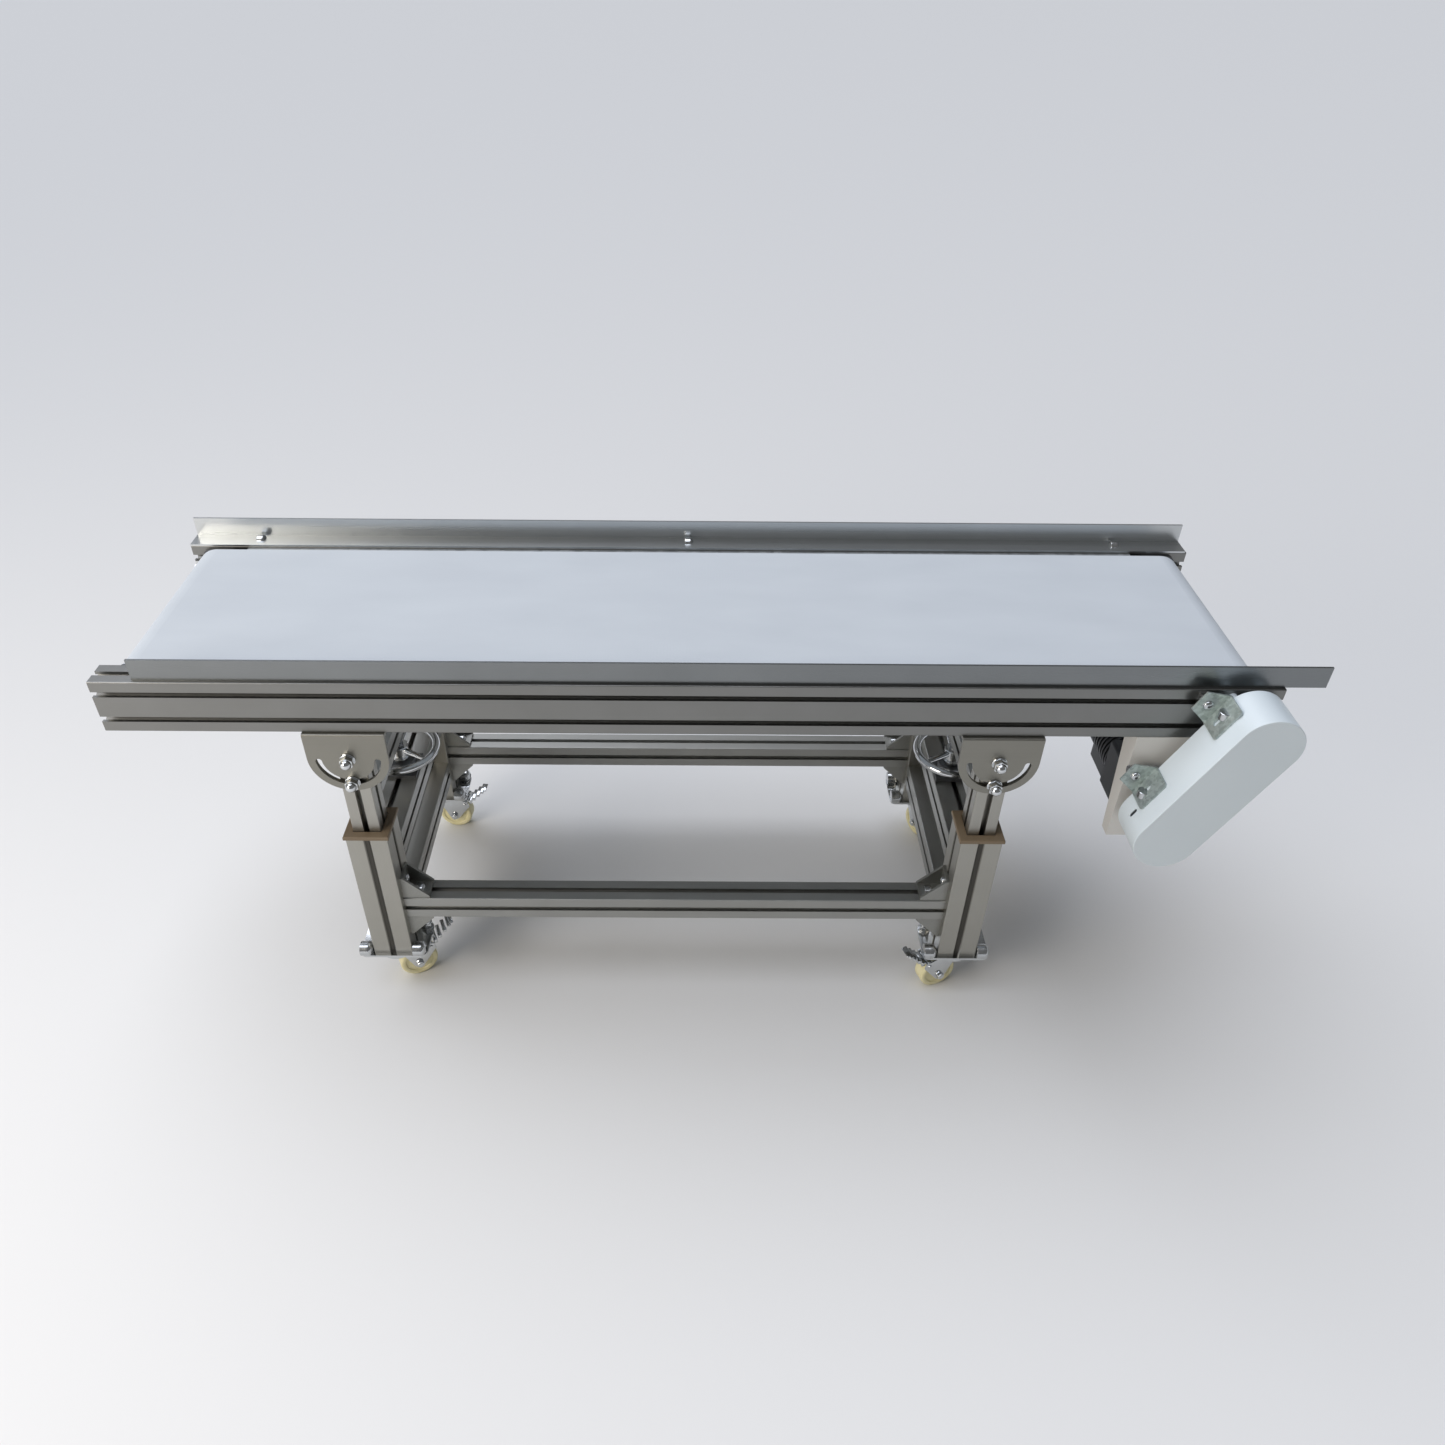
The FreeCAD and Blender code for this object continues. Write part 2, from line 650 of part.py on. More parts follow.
def cover_bolts():
    """Screws through the angles, with the distance bushes behind them."""
    pieces = []
    for place, (along, depth) in zip(angle_places, angle_bolts()):
        seat = drive_axis + chain_dir * along + chain_out * (cover_r + angle_thickness) - Y * depth
        pieces.append(button_bolt(m6_r, m6_head_r, m6_head_height, seat, chain_out, 10.0))
        front = drive_axis + chain_dir * place + chain_out * (cover_r + angle_front_bolt) - Y * cover_standoff
        pieces.append(button_bolt(m6_r, m6_head_r, m6_head_height, front, -Y, cover_standoff - 1.0))
        bush_start = front + Y * angle_thickness
        bush = rod(bush_r, bush_start, Y, cover_standoff - angle_thickness)
        pieces.append(bush.cut(rod(m6_r + bolt_gap, bush_start - Y, Y, cover_standoff)))
    return pieces


def motor_bracket():
    """Folded sheet hanging under the front rail, with a tapered flange at each side."""
    x0, x1 = motor_box_left, motor_box_right
    foot = rails_bottom - motor_plate_drop
    front = slab(x0, x1, 0, motor_plate, foot, rails_bottom)
    top = slab(x0, x1, 0, rail_width - 2, rails_bottom - motor_plate, rails_bottom)
    flange = outline([V(x0, 0, rails_bottom), V(x0, motor_flange_top - 2, rails_bottom),
                      V(x0, motor_flange_foot, foot), V(x0, 0, foot)])
    left = flange.extrude(X * motor_plate)
    right = left.translated(X * (x1 - x0 - motor_plate))
    box = front.fuse([top, left, right]).removeSplitter()
    box = box.cut(rod(motor_shaft_r + motor_shaft_gap, motor_axis - Y * 5, Y, 15))
    for x in (x0 + motor_bolt_inset, x1 - motor_bolt_inset):
        box = box.cut(rod(m6_r + bolt_gap, V(x, rail_width / 2, rails_bottom - 10), Z, 20))
    return box


def gearbox():
    """Square gearbox on the back of the motor bracket, with its shaft below its middle."""
    h = gearbox_size / 2
    y0 = motor_plate
    body = slab(motor_middle.x - h, motor_middle.x + h, y0, y0 + gearbox_depth,
                motor_middle.z - h, motor_middle.z + h)
    body = body.makeFillet(gearbox_corner, [e for e in body.Edges if e.tangentAt(0).cross(Y).Length < 0.01])
    return body.cut(rod(motor_shaft_r + running, motor_axis, Y, y0 + shaft_in_gearbox + 2))


def motor():
    """Round motor body with cooling ribs and a terminal box on its underside."""
    start = motor_middle + Y * (motor_plate + gearbox_depth)
    ribbed = motor_length - motor_cap_length
    body = rod(motor_r - motor_rib_depth, start, Y, motor_length)
    ribs = [rod(motor_r, start + Y * (motor_rib + motor_rib_pitch * i), Y, motor_rib)
            for i in range(int((ribbed - motor_rib) / motor_rib_pitch))]
    cap = rod(motor_r, start + Y * ribbed, Y, motor_cap_length)
    underside = start.z - motor_r
    box = slab(start.x - terminal_half, start.x + terminal_half, start.y + terminal_start,
               start.y + terminal_start + terminal_length, underside - terminal_drop, underside + 8)
    return body.fuse(ribs + [cap, box]).removeSplitter()


# ---- Tilt brackets and lift columns ----
def tilt_plate(x):
    """Bent plate under the front rail: a pivot hole and a curved slot for the clamp bolt."""
    r = tilt_plate_width / 2
    y0 = -plate_front
    top = rails_bottom
    left, right = V(x - r, y0, 0), V(x + r, y0, 0)
    wire = [Part.LineSegment(left + Z * top, left + Z * pivot_z).toShape(),
            Part.Arc(left + Z * pivot_z, V(x, y0, pivot_z - r), right + Z * pivot_z).toShape(),
            Part.LineSegment(right + Z * pivot_z, right + Z * top).toShape(),
            Part.LineSegment(right + Z * top, left + Z * top).toShape()]
    plate = Part.Face(Part.Wire(wire)).extrude(Y * tilt_plate_thickness)
    flange = slab(x - r, x + r, y0, y0 + tilt_flange_depth, top - tilt_plate_thickness, top)
    plate = plate.fuse(flange).removeSplitter()
    bend = [e for e in plate.Edges if abs(e.CenterOfMass.y - y0) < 0.01 and abs(e.CenterOfMass.z - top) < 0.01
            and e.tangentAt(e.FirstParameter).cross(X).Length < 0.01]
    plate = plate.makeFillet(tilt_bend_r, bend)
    plate = plate.cut(rod(tilt_bolt_r + running, V(x, y0 - 1, pivot_z), Y, tilt_plate_thickness + 2))
    plate = plate.cut(arc_slot(x, y0 - 1, tilt_plate_thickness + 2))
    for side in (-tilt_bolt_share, tilt_bolt_share):
        at = V(x + side * tilt_plate_width, rail_width / 2, top - 15)
        plate = plate.cut(rod(m8_r + bolt_gap, at, Z, 20))
    return plate


def arc_slot(x, y0, depth):
    """The curved slot around the pivot, centred straight below it."""
    half = tilt_slot_width / 2
    inner, outer = tilt_arc_r - half, tilt_arc_r + half
    pivot = V(x, y0, pivot_z)

    def at(r, degrees):
        a = math.radians(degrees - 90)
        return pivot + V(r * math.cos(a), 0, r * math.sin(a))

    s = tilt_slot_half_angle
    over = math.degrees(half / tilt_arc_r)
    wire = [Part.Arc(at(outer, -s), at(outer, 0), at(outer, s)).toShape(),
            Part.Arc(at(outer, s), at(tilt_arc_r, s + over), at(inner, s)).toShape(),
            Part.Arc(at(inner, s), at(inner, 0), at(inner, -s)).toShape(),
            Part.Arc(at(inner, -s), at(tilt_arc_r, -s - over), at(outer, -s)).toShape()]
    return Part.Face(Part.Wire(wire)).extrude(Y * depth)


def tilt_plates():
    """Tilt plates over both legs, front and rear."""
    fronts = [tilt_plate(x) for x in leg_axes.values()]
    return fronts + [mirrored(p) for p in fronts]


def tilt_plate_bolts():
    """Bolts up through each bracket flange into the slot under the rail."""
    bolts = []
    for x in leg_axes.values():
        for side in (-tilt_bolt_share, tilt_bolt_share):
            seat = V(x + side * tilt_plate_width, rail_width / 2, rails_bottom - tilt_plate_thickness)
            bolt = button_bolt(m8_r, bracket_bolt_head_r, bracket_bolt_head_height, seat, -Z,
                               tilt_plate_thickness + 9)
            bolts += [bolt, mirrored(bolt)]
    return bolts


def inner_posts(x):
    """The pair of sliding posts at one end of the stand."""
    length = pivot_z + post_above_pivot - post_slide_foot
    return [slotted_profile(profile_size, profile_size, length).translated(V(x, y, post_slide_foot))
            for y in leg_rows.values()]


def post_shoes(x):
    """Plastic shoes on the feet of the sliding posts, running inside the outer posts."""
    half = outer_half - outer_post_wall - slide_gap
    foot = post_slide_foot
    shoes = []
    for y in leg_rows.values():
        plate = slab(x - half, x + half, y - half, y + half, foot - shoe_thickness, foot)
        plug = rod(core_bore_r - running, V(x, y, foot - 1), Z, shoe_plug + 1)
        shoes.append(plate.fuse(plug))
    return shoes


def lift_beam(x):
    """Beam between the sliding posts, bored for the lift screw's nut."""
    length = bed_width - 2 * profile_size
    beam = lay_along_y(slotted_profile(profile_size, profile_size, length),
                       V(x, profile_size, lift_beam_top - inner_half))
    return beam.cut(rod(nut_r + bolt_gap, V(x, mid_y, lift_beam_top - profile_size - 1), Z, profile_size + 2))


def lift_nut(x):
    """Flanged nut sitting in the lift beam."""
    base = V(x, mid_y, lift_beam_top - profile_size + nut_set_in)
    body = rod(nut_r, base, Z, profile_size - nut_set_in)
    flange = rod(nut_flange_r, V(x, mid_y, lift_beam_top), Z, nut_flange_height)
    return body.fuse(flange).cut(rod(screw_r + slide_gap, base - Z, Z, profile_size + 10))


def pivot_bolts(x):
    """Domed nuts and studs of the pivot and the clamp, front and rear."""
    bolts = []
    for z in (pivot_z, pivot_z - tilt_arc_r):
        seat = V(x, -plate_front - apart, z)
        stud = rod(tilt_bolt_r, seat, Y, plate_front + apart + slot_depth - 0.5)
        head = slab(x - t_bolt_half, x + t_bolt_half, slot_lip, slot_lip + slot_shoulder,
                    z - t_bolt_half, z + t_bolt_half)
        bolt = acorn(tilt_nut_flats, seat, -Y).fuse([stud, head])
        bolts += [bolt, mirrored(bolt)]
    return bolts


def lead_screw(x):
    """Lift screw, standing in its bearing on the upper cross beam."""
    foot = upper_beam_top - upper_beam_height / 2
    top = bed_height - screw_tip_below_rails
    screw = rod(screw_r, V(x, mid_y, foot), Z, top - foot)
    return screw.makeChamfer(screw_chamfer, [e for e in screw.Edges if len(e.Vertexes) == 1
                                   and abs(e.CenterOfMass.z - top) < 0.01])


def handwheel(x):
    """Ring with a hub and straight spokes, level, keyed to the lift screw."""
    rim_z = hub_foot + wheel_hub_height - wheel_rim_tube - wheel_rim_drop
    hub = rod(wheel_hub_r, V(x, mid_y, hub_foot), Z, wheel_hub_height)
    ring = Part.makeTorus(wheel_rim_r, wheel_rim_tube, V(x, mid_y, rim_z), Z)
    spokes = []
    for i in range(wheel_spokes):
        a = math.radians(90 + 360 * i / wheel_spokes)
        spokes.append(rod(wheel_spoke_r, V(x, mid_y, rim_z), V(math.cos(a), math.sin(a), 0), wheel_rim_r))
    wheel = hub.fuse([ring] + spokes)
    return wheel.cut(rod(screw_r, V(x, mid_y, hub_foot - 1), Z, wheel_hub_height + 2))


# ---- Stand ----
def corner_spots():
    """Each corner angle: post side, row and whether it stands on or hangs under the long beam."""
    spots = []
    for side, x in leg_axes.items():
        away = 1 if side == "left" else -1
        for y in leg_rows.values():
            spots.append((x + away * outer_half, y, away, 1))
            spots.append((x + away * outer_half, y, away, -1))
    return spots


def corner_base_z(up):
    return long_beam_foot + profile_size if up > 0 else long_beam_foot


def outer_posts():
    """Four square tubes, drilled for the corner angle bolts."""
    posts = []
    for side, x in leg_axes.items():
        away = 1 if side == "left" else -1
        for y in leg_rows.values():
            post = grooved_tube(post_top - post_foot).translated(V(x, y, post_foot))
            for up in (1, -1):
                z = corner_base_z(up) + up * corner_bolt_at
                start = V(x + away * (outer_half - outer_post_wall - 1), y, z)
                post = post.cut(rod(m8_r + bolt_gap, start, X * away, outer_post_wall + 2))
            posts.append(post)
    return posts


def guide_caps():
    """Brown plastic guides pressed into the tops of the outer posts."""
    caps = []
    half = cap_size / 2
    hole = inner_half + slide_gap
    skirt = outer_half - outer_post_wall - 0.1
    for x in leg_axes.values():
        for y in leg_rows.values():
            cap = slab(x - half, x + half, y - half, y + half, post_top, cap_top)
            top_edges = [e for e in cap.Edges if abs(e.CenterOfMass.z - cap_top) < 0.01]
            cap = cap.makeChamfer(1.0, top_edges)
            cap = cap.fuse(slab(x - skirt, x + skirt, y - skirt, y + skirt, post_top - cap_skirt, post_top))
            cap = cap.cut(slab(x - hole, x + hole, y - hole, y + hole, post_top - cap_skirt - 1, cap_top + 1))
            caps.append(cap)
    return caps


def long_beam(y):
    """Beam between the two end frames."""
    x0, x1 = left_leg + outer_half, right_leg - outer_half
    return lay_along_x(slotted_profile(profile_size, profile_size, x1 - x0),
                       V(x0, y, long_beam_foot + inner_half))


def cross_beam(x, foot, height):
    """Wide beam between the outer posts of one end frame."""
    y0 = front_leg_y + outer_half
    length = rear_leg_y - outer_half - y0
    return lay_along_y(slotted_profile(height, upper_beam_width, length), V(x, y0, foot + height / 2))


def upper_cross_beams():
    beams = []
    for x in leg_axes.values():
        beam = cross_beam(x, upper_beam_top - upper_beam_height, upper_beam_height)
        below = V(x, mid_y, upper_beam_top - upper_beam_height - 1)
        beams.append(beam.cut(rod(screw_r + screw_hole_gap, below, Z, upper_beam_height + 2)))
    return beams


def lower_cross_beams():
    return [cross_beam(x, lower_beam_foot, lower_beam_height) for x in leg_axes.values()]


def corner_angle(x, y, away, up):
    """Cast corner angle: two legs and two side cheeks."""
    z = corner_base_z(up)
    w = corner_width / 2
    leg, wall = corner_leg, corner_wall

    def tri(y0, y1):
        face = outline([V(0, y0, 0), V(leg, y0, 0), V(leg, y0, wall), V(wall, y0, leg), V(0, y0, leg)])
        return face.extrude(Y * (y1 - y0))

    body = slab(0, leg, -w, w, 0, wall)
    body = body.fuse([slab(0, wall, -w, w, 0, leg), tri(-w, -w + wall), tri(w - wall, w)])
    body = body.removeSplitter()
    body = body.cut(rod(m8_r + bolt_gap, V(corner_bolt_at, 0, -1), Z, wall + 2))
    body = body.cut(rod(m8_r + bolt_gap, V(-1, 0, corner_bolt_at), X, wall + 2))
    if away < 0:
        body = body.mirror(V(0, 0, 0), X)
    if up < 0:
        body = body.mirror(V(0, 0, 0), Z)
    return body.translated(V(x, y, z))


def corner_angles():
    return [corner_angle(*spot) for spot in corner_spots()]


def frame_bolts():
    """Screws of the corner angles and the domed nuts that hold the casters."""
    bolts = []
    for x, y, away, up in corner_spots():
        z = corner_base_z(up)
        on_beam = V(x + away * corner_bolt_at, y, z + up * corner_wall)
        bolts.append(button_bolt(m8_r, m8_head_r, m8_head_height, on_beam, Z * up,
                                 corner_wall + slot_depth - 1))
        on_post = V(x + away * corner_wall, y, z + up * corner_bolt_at)
        bolts.append(button_bolt(m8_r, m8_head_r, m8_head_height, on_post, X * away,
                                 corner_wall + outer_post_wall))
    for x in leg_axes.values():
        for y in leg_rows.values():
            for dx in (-caster_bolt_x, caster_bolt_x):
                for dy in (-caster_bolt_y, caster_bolt_y):
                    seat = V(x + dx, y + dy, caster_height)
                    stud = rod(m8_r, seat, -Z, caster_plate_thickness)
                    bolts.append(acorn(caster_nut_flats, seat, Z).fuse(stud))
    return bolts


def screw_bearings():
    """Round bearing housings on the upper cross beams."""
    housings = []
    for x in leg_axes.values():
        base = V(x, mid_y, upper_beam_top)
        half = bearing_flange_half
        flange = slab(x - half, x + half, mid_y - half, mid_y + half, upper_beam_top,
                      upper_beam_top + bearing_flange_height)
        body = flange.fuse(rod(screw_bearing_r, base, Z, screw_bearing_height))
        housings.append(body.cut(rod(screw_r + running, base - Z, Z, screw_bearing_height + 2)))
    return housings


# ---- Casters ----
def caster_plates():
    """Fixed top plates, each with its bearing race and kingpin."""
    plates = []
    for x in leg_axes.values():
        for y in leg_rows.values():
            base = caster_height - caster_plate_thickness
            px, py = caster_plate_x / 2, caster_plate_y / 2
            plate = slab(x - px, x + px, y - py, y + py, base, caster_height)
            plate = plate.makeFillet(10.0, [e for e in plate.Edges if e.tangentAt(0).cross(Z).Length < 0.01])
            for dx in (-caster_bolt_x, caster_bolt_x):
                for dy in (-caster_bolt_y, caster_bolt_y):
                    plate = plate.cut(rod(m8_r + bolt_gap, V(x + dx, y + dy, base - 1), Z, 10))
            race = rod(caster_head_r - race_inset, V(x, y, base - race_height), Z, race_height)
            pin = rod(kingpin_r, V(x, y, fork_head_bottom - 1), Z, base - fork_head_bottom)
            plates.append(plate.fuse([race, pin]))
    return plates


def caster_fork():
    """Swivelling fork, drawn with its trail along x and its swivel axis on z."""
    head = rod(caster_head_r, V(0, 0, fork_head_bottom), Z, fork_head_top - fork_head_bottom)
    head = head.makeFillet(3.0, [e for e in head.Edges if len(e.Vertexes) == 1
                                 and abs(e.CenterOfMass.z - fork_head_bottom) < 0.01])
    inside = caster_wheel_width / 2 + fork_side_gap
    px, pz = pedal_pin_x, pedal_pin_z
    t, a = caster_trail, caster_wheel_r
    top = fork_head_bottom + 2.5
    cheek = outline([V(-16, inside, top), V(-10, inside, top - 14), V(t - 9, inside, a - 4),
                     V(t - 5, inside, a - 9), V(t + 5, inside, a - 9), V(t + 9, inside, a - 4),
                     V(px + 7, inside, pz - 2), V(px + 5, inside, pz + 6), V(24, inside, top)])
    cheek = cheek.extrude(Y * fork_wall)
    other = cheek.mirror(V(0, 0, 0), Y)
    fork = head.fuse([cheek, other]).removeSplitter()
    fork = fork.cut(rod(kingpin_r + running, V(0, 0, fork_head_bottom - 1), Z, 40))
    reach = inside + fork_wall
    for x, z, r in ((t, a, axle_r + bolt_gap), (px, pz, pedal_pin_r + bolt_gap)):
        fork = fork.cut(rod(r, V(x, -reach - 1, z), Y, 2 * reach + 2))
    axle = rod(axle_r, V(t, -reach - 2, a), Y, 2 * reach + 4)
    axle = axle.fuse([hexagon(axle_nut_flats, V(t, side * reach, a), Y * side, axle_nut_height)
                      for side in (1, -1)])
    pin = rod(pedal_pin_r, V(px, -reach - 2, pz), Y, 2 * reach + 4)
    return [fork, axle, pin]


def caster_wheel():
    """Tyred wheel with a hub boss each side."""
    w = caster_wheel_width / 2
    at = V(caster_trail, -w, caster_wheel_r)
    tread = rod(caster_wheel_r, at, Y, caster_wheel_width)
    tread = tread.makeFillet(wheel_edge_r, [e for e in tread.Edges if len(e.Vertexes) == 1])
    for side in (-1, 1):
        dish = rod(caster_wheel_r - wheel_dish_rim, V(caster_trail, side * (w + 1), caster_wheel_r), Y * -side,
                   wheel_dish + 1)
        tread = tread.cut(dish)
    tread = tread.fuse(rod(wheel_boss_r, V(caster_trail, -w - wheel_boss_out, caster_wheel_r), Y,
                           caster_wheel_width + 2 * wheel_boss_out))
    return tread.cut(rod(axle_r + running, V(caster_trail, -w - 2, caster_wheel_r), Y, caster_wheel_width + 4))


def brake_pedal():
    """Brake lever on the fork's outer pin, raised when the wheel is free."""
    px, pz = pedal_pin_x, pedal_pin_z
    half = caster_wheel_width / 2 + fork_side_gap - pedal_side_gap
    side = outline([V(px - 6, -half, pz + 1), V(px - 2, -half, pz + 6), V(px + 12, -half, pz + 11),
                    V(px + 20, -half, pz + 22), V(px + 38, -half, pz + 38), V(px + 42, -half, pz + 35),
                    V(px + 25, -half, pz + 15), V(px + 16, -half, pz + 5), V(px + 4, -half, pz - 5),
                    V(px - 2, -half, pz - 4)])
    pedal = side.extrude(Y * (2 * half))
    return pedal.cut(rod(pedal_pin_r + running, V(px, -half - 1, pz), Y, 2 * half + 2))


def place_caster(shapes, corner):
    """Turn a caster piece to its heading and stand it under its leg."""
    row, side = corner.split("_")
    moved = []
    for shape in shapes:
        copy = shape.copy()
        copy.rotate(V(0, 0, 0), Z, caster_headings[corner])
        copy.translate(V(leg_axes[side], leg_rows[row], 0))
        moved.append(copy)
    return moved


# ---- Write every piece ----
def build_bed():
    write("front_rail", front_rail())
    write("rear_rail", rear_rail())
    write("front_guard", side_guard(front_guard_shift))
    write("rear_guard", mirrored(side_guard(0.0)))
    write("guard_bolts", guard_bolts(front_guard_shift) + [mirrored(b) for b in guard_bolts(0.0)])
    write("conveyor_belt", conveyor_belt())
    write("slider_bed", slider_bed())
    write("cross_ties", cross_ties())
    write("roller_bearings", roller_bearings())
    write("tension_screws", tension_screws())
    write("tilt_brackets", tilt_plates())
    write("tilt_bracket_bolts", tilt_plate_bolts())


def build_drive():
    write("drive_roller", roller(drive_x, shaft_front))
    write("tail_roller", roller(tail_x, rail_width + shaft_end_gap))
    write("drive_sprocket", sprocket(drive_axis, roller_shaft_r, 0.0))
    write("motor_sprocket", sprocket(motor_axis, motor_shaft_r, 0.0).fuse(motor_shaft()))
    write("drive_chain", drive_chain())
    write("drive_cover", drive_cover())
    write("cover_backplate", cover_backplate())
    write("cover_brackets", cover_angles())
    write("cover_bolts", cover_bolts())
    write("motor_bracket", motor_bracket())
    write("gearbox", gearbox())
    write("motor", motor())


def build_stand():
    for side, x in leg_axes.items():
        write(side + "_inner_posts", inner_posts(x))
        write(side + "_post_shoes", post_shoes(x))
        write(side + "_lift_beam", lift_beam(x))
        write(side + "_lift_nut", lift_nut(x))
        write(side + "_pivot_bolts", pivot_bolts(x))
        write(side + "_lead_screw", lead_screw(x))
        write(side + "_handwheel", handwheel(x))
    write("outer_posts", outer_posts())
    write("guide_caps", guide_caps())
    write("front_long_beam", long_beam(front_leg_y))
    write("rear_long_beam", long_beam(rear_leg_y))
    write("upper_cross_beams", upper_cross_beams())
    write("lower_cross_beams", lower_cross_beams())
    write("corner_brackets", corner_angles())
    write("frame_bolts", frame_bolts())
    write("screw_bearings", screw_bearings())
    write("caster_plates", caster_plates())


def build_casters():
    for corner in caster_headings:
        write("caster_fork_" + corner, place_caster(caster_fork(), corner))
        write("caster_wheel_" + corner, place_caster([caster_wheel()], corner))
        write("brake_pedal_" + corner, place_caster([brake_pedal()], corner))


os.makedirs("parts", exist_ok=True)
build_bed()
build_drive()
build_stand()
build_casters()
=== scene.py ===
# %% [markdown]
# # A belt conveyor section, finished for its picture
#
# The frame already holds every load-bearing piece at its real size: rails, posts, rollers,
# motor and casters. This lesson gives each of them the surface of its real material, and
# rebuilds the small turned and pressed pieces, such as screws, cap nuts, handwheels, lift
# screws and casters, with the edges and recesses that catch the light.

import json
import math

import bpy
import numpy as np
from mathutils import Matrix, Vector


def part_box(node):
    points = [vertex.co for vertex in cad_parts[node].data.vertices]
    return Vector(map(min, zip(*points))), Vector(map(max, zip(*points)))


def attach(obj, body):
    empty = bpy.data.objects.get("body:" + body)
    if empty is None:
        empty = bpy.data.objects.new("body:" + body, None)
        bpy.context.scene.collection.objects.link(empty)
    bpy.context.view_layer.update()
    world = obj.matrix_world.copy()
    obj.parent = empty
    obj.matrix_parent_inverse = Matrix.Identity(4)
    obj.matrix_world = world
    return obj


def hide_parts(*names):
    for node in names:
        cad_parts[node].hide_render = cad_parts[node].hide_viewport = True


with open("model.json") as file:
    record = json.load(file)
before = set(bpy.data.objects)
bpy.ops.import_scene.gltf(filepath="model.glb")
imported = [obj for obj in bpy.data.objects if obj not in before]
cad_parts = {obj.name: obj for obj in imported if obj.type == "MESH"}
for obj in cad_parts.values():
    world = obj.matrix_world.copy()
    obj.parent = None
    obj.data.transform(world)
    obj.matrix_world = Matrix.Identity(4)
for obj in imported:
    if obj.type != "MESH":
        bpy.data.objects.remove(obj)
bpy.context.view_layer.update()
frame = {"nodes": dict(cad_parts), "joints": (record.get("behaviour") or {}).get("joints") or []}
nodes = frame["nodes"]
joints = {joint["name"]: joint for joint in frame["joints"]}
mm = 0.001


# %% [markdown]
# ## Working by hand, in code
#
# An operator works on whatever is selected, so every piece starts from an empty selection.
# `finished` ends a piece: it puts the place and turn of the object into its mesh, which
# leaves the object at the origin, where a pattern stays put when the part moves.

# %% Helpers for new pieces
def nothing_selected():
    if bpy.context.object and bpy.context.object.mode != "OBJECT":
        bpy.ops.object.mode_set(mode="OBJECT")
    bpy.ops.object.select_all(action="DESELECT")


def only(piece):
    nothing_selected()
    piece.select_set(True)
    bpy.context.view_layer.objects.active = piece


def apply_place(piece):
    only(piece)
    bpy.ops.object.transform_apply(location=True, rotation=True, scale=True)


def joined(pieces, name):
    """Several pieces made one."""
    nothing_selected()
    for piece in pieces:
        piece.select_set(True)
    bpy.context.view_layer.objects.active = pieces[0]
    if len(pieces) > 1:
        bpy.ops.object.join()
    whole = bpy.context.object
    whole.name = name
    whole.data.name = name
    return whole


def smooth(piece, degrees=35):
    only(piece)
    bpy.ops.object.shade_smooth_by_angle(angle=math.radians(degrees))


def bevelled(piece, width, segments=2, angle=40):
    """Rounded edges, as tumbling or pressing leaves them."""
    only(piece)
    edge = piece.modifiers.new("edges", "BEVEL")
    edge.width, edge.segments, edge.limit_method = width, segments, "ANGLE"
    edge.angle_limit = math.radians(angle)
    bpy.ops.object.modifier_apply(modifier=edge.name)


def copied(model, matrix):
    """A copy of a piece with its own mesh, moved by a matrix."""
    copy = bpy.data.objects.new(model.name, model.data.copy())
    bpy.context.scene.collection.objects.link(copy)
    copy.data.transform(matrix)
    return copy


def placed(model, seat, direction):
    """A copy of a piece drawn on +Z from the origin, stood on a seat and pointed along a direction."""
    stand = Vector((0, 0, 1)).rotation_difference(Vector(direction)).to_matrix().to_4x4()
    return copied(model, Matrix.Translation(Vector(seat)) @ stand)


def dropped(*models):
    """Take away the patterns that copies were made from."""
    for model in models:
        bpy.data.objects.remove(model)


def closed(piece):
    """Close the open loops of a piece and turn its faces outwards."""
    only(piece)
    bpy.ops.object.mode_set(mode="EDIT")
    bpy.ops.mesh.select_all(action="SELECT")
    bpy.ops.mesh.remove_doubles(threshold=0.01 * mm)
    bpy.ops.mesh.select_all(action="DESELECT")
    bpy.ops.mesh.select_non_manifold(extend=False, use_wire=False, use_multi_face=False,
                                     use_non_contiguous=False, use_verts=False)
    bpy.ops.mesh.edge_face_add()
    bpy.ops.mesh.select_all(action="SELECT")
    bpy.ops.mesh.normals_make_consistent(inside=False)
    bpy.ops.object.mode_set(mode="OBJECT")
    apply_place(piece)
    return piece


def turned(name, outline, sides=32):
    """A lathe-turned piece about +Z: one ring of points for each (radius, height) in millimetres."""
    nothing_selected()
    (radius, height), steps = outline[0], outline[1:]
    bpy.ops.mesh.primitive_circle_add(vertices=sides, radius=radius * mm, location=(0, 0, height * mm))
    piece = bpy.context.object
    piece.name = name
    bpy.ops.object.mode_set(mode="EDIT")
    bpy.ops.mesh.select_all(action="SELECT")
    for new_radius, new_height in steps:
        bpy.ops.mesh.extrude_edges_move(TRANSFORM_OT_translate={"value": (0, 0, (new_height - height) * mm)})
        grow = new_radius / radius
        bpy.ops.transform.resize(value=(grow, grow, 1), center_override=(0, 0, new_height * mm))
        radius, height = new_radius, new_height
    return closed(piece)


def blank(name, low, high):
    """A rectangular blank between two corners, in millimetres."""
    nothing_selected()
    low, high = Vector(low) * mm, Vector(high) * mm
    bpy.ops.mesh.primitive_cube_add(size=1, location=(low + high) / 2, scale=high - low)
    piece = bpy.context.object
    piece.name = name
    apply_place(piece)
    return piece


def hexagon(name, flats, low, high, chamfer):
    """A hexagonal nut body between two heights, in millimetres."""
    nothing_selected()
    bpy.ops.mesh.primitive_cylinder_add(vertices=6, radius=flats / math.sqrt(3) * mm,
                                        depth=(high - low) * mm, location=(0, 0, (low + high) / 2 * mm))
    piece = bpy.context.object
    piece.name = name
    apply_place(piece)
    if chamfer:
        bevelled(piece, chamfer * mm, 2, 50)
    return piece


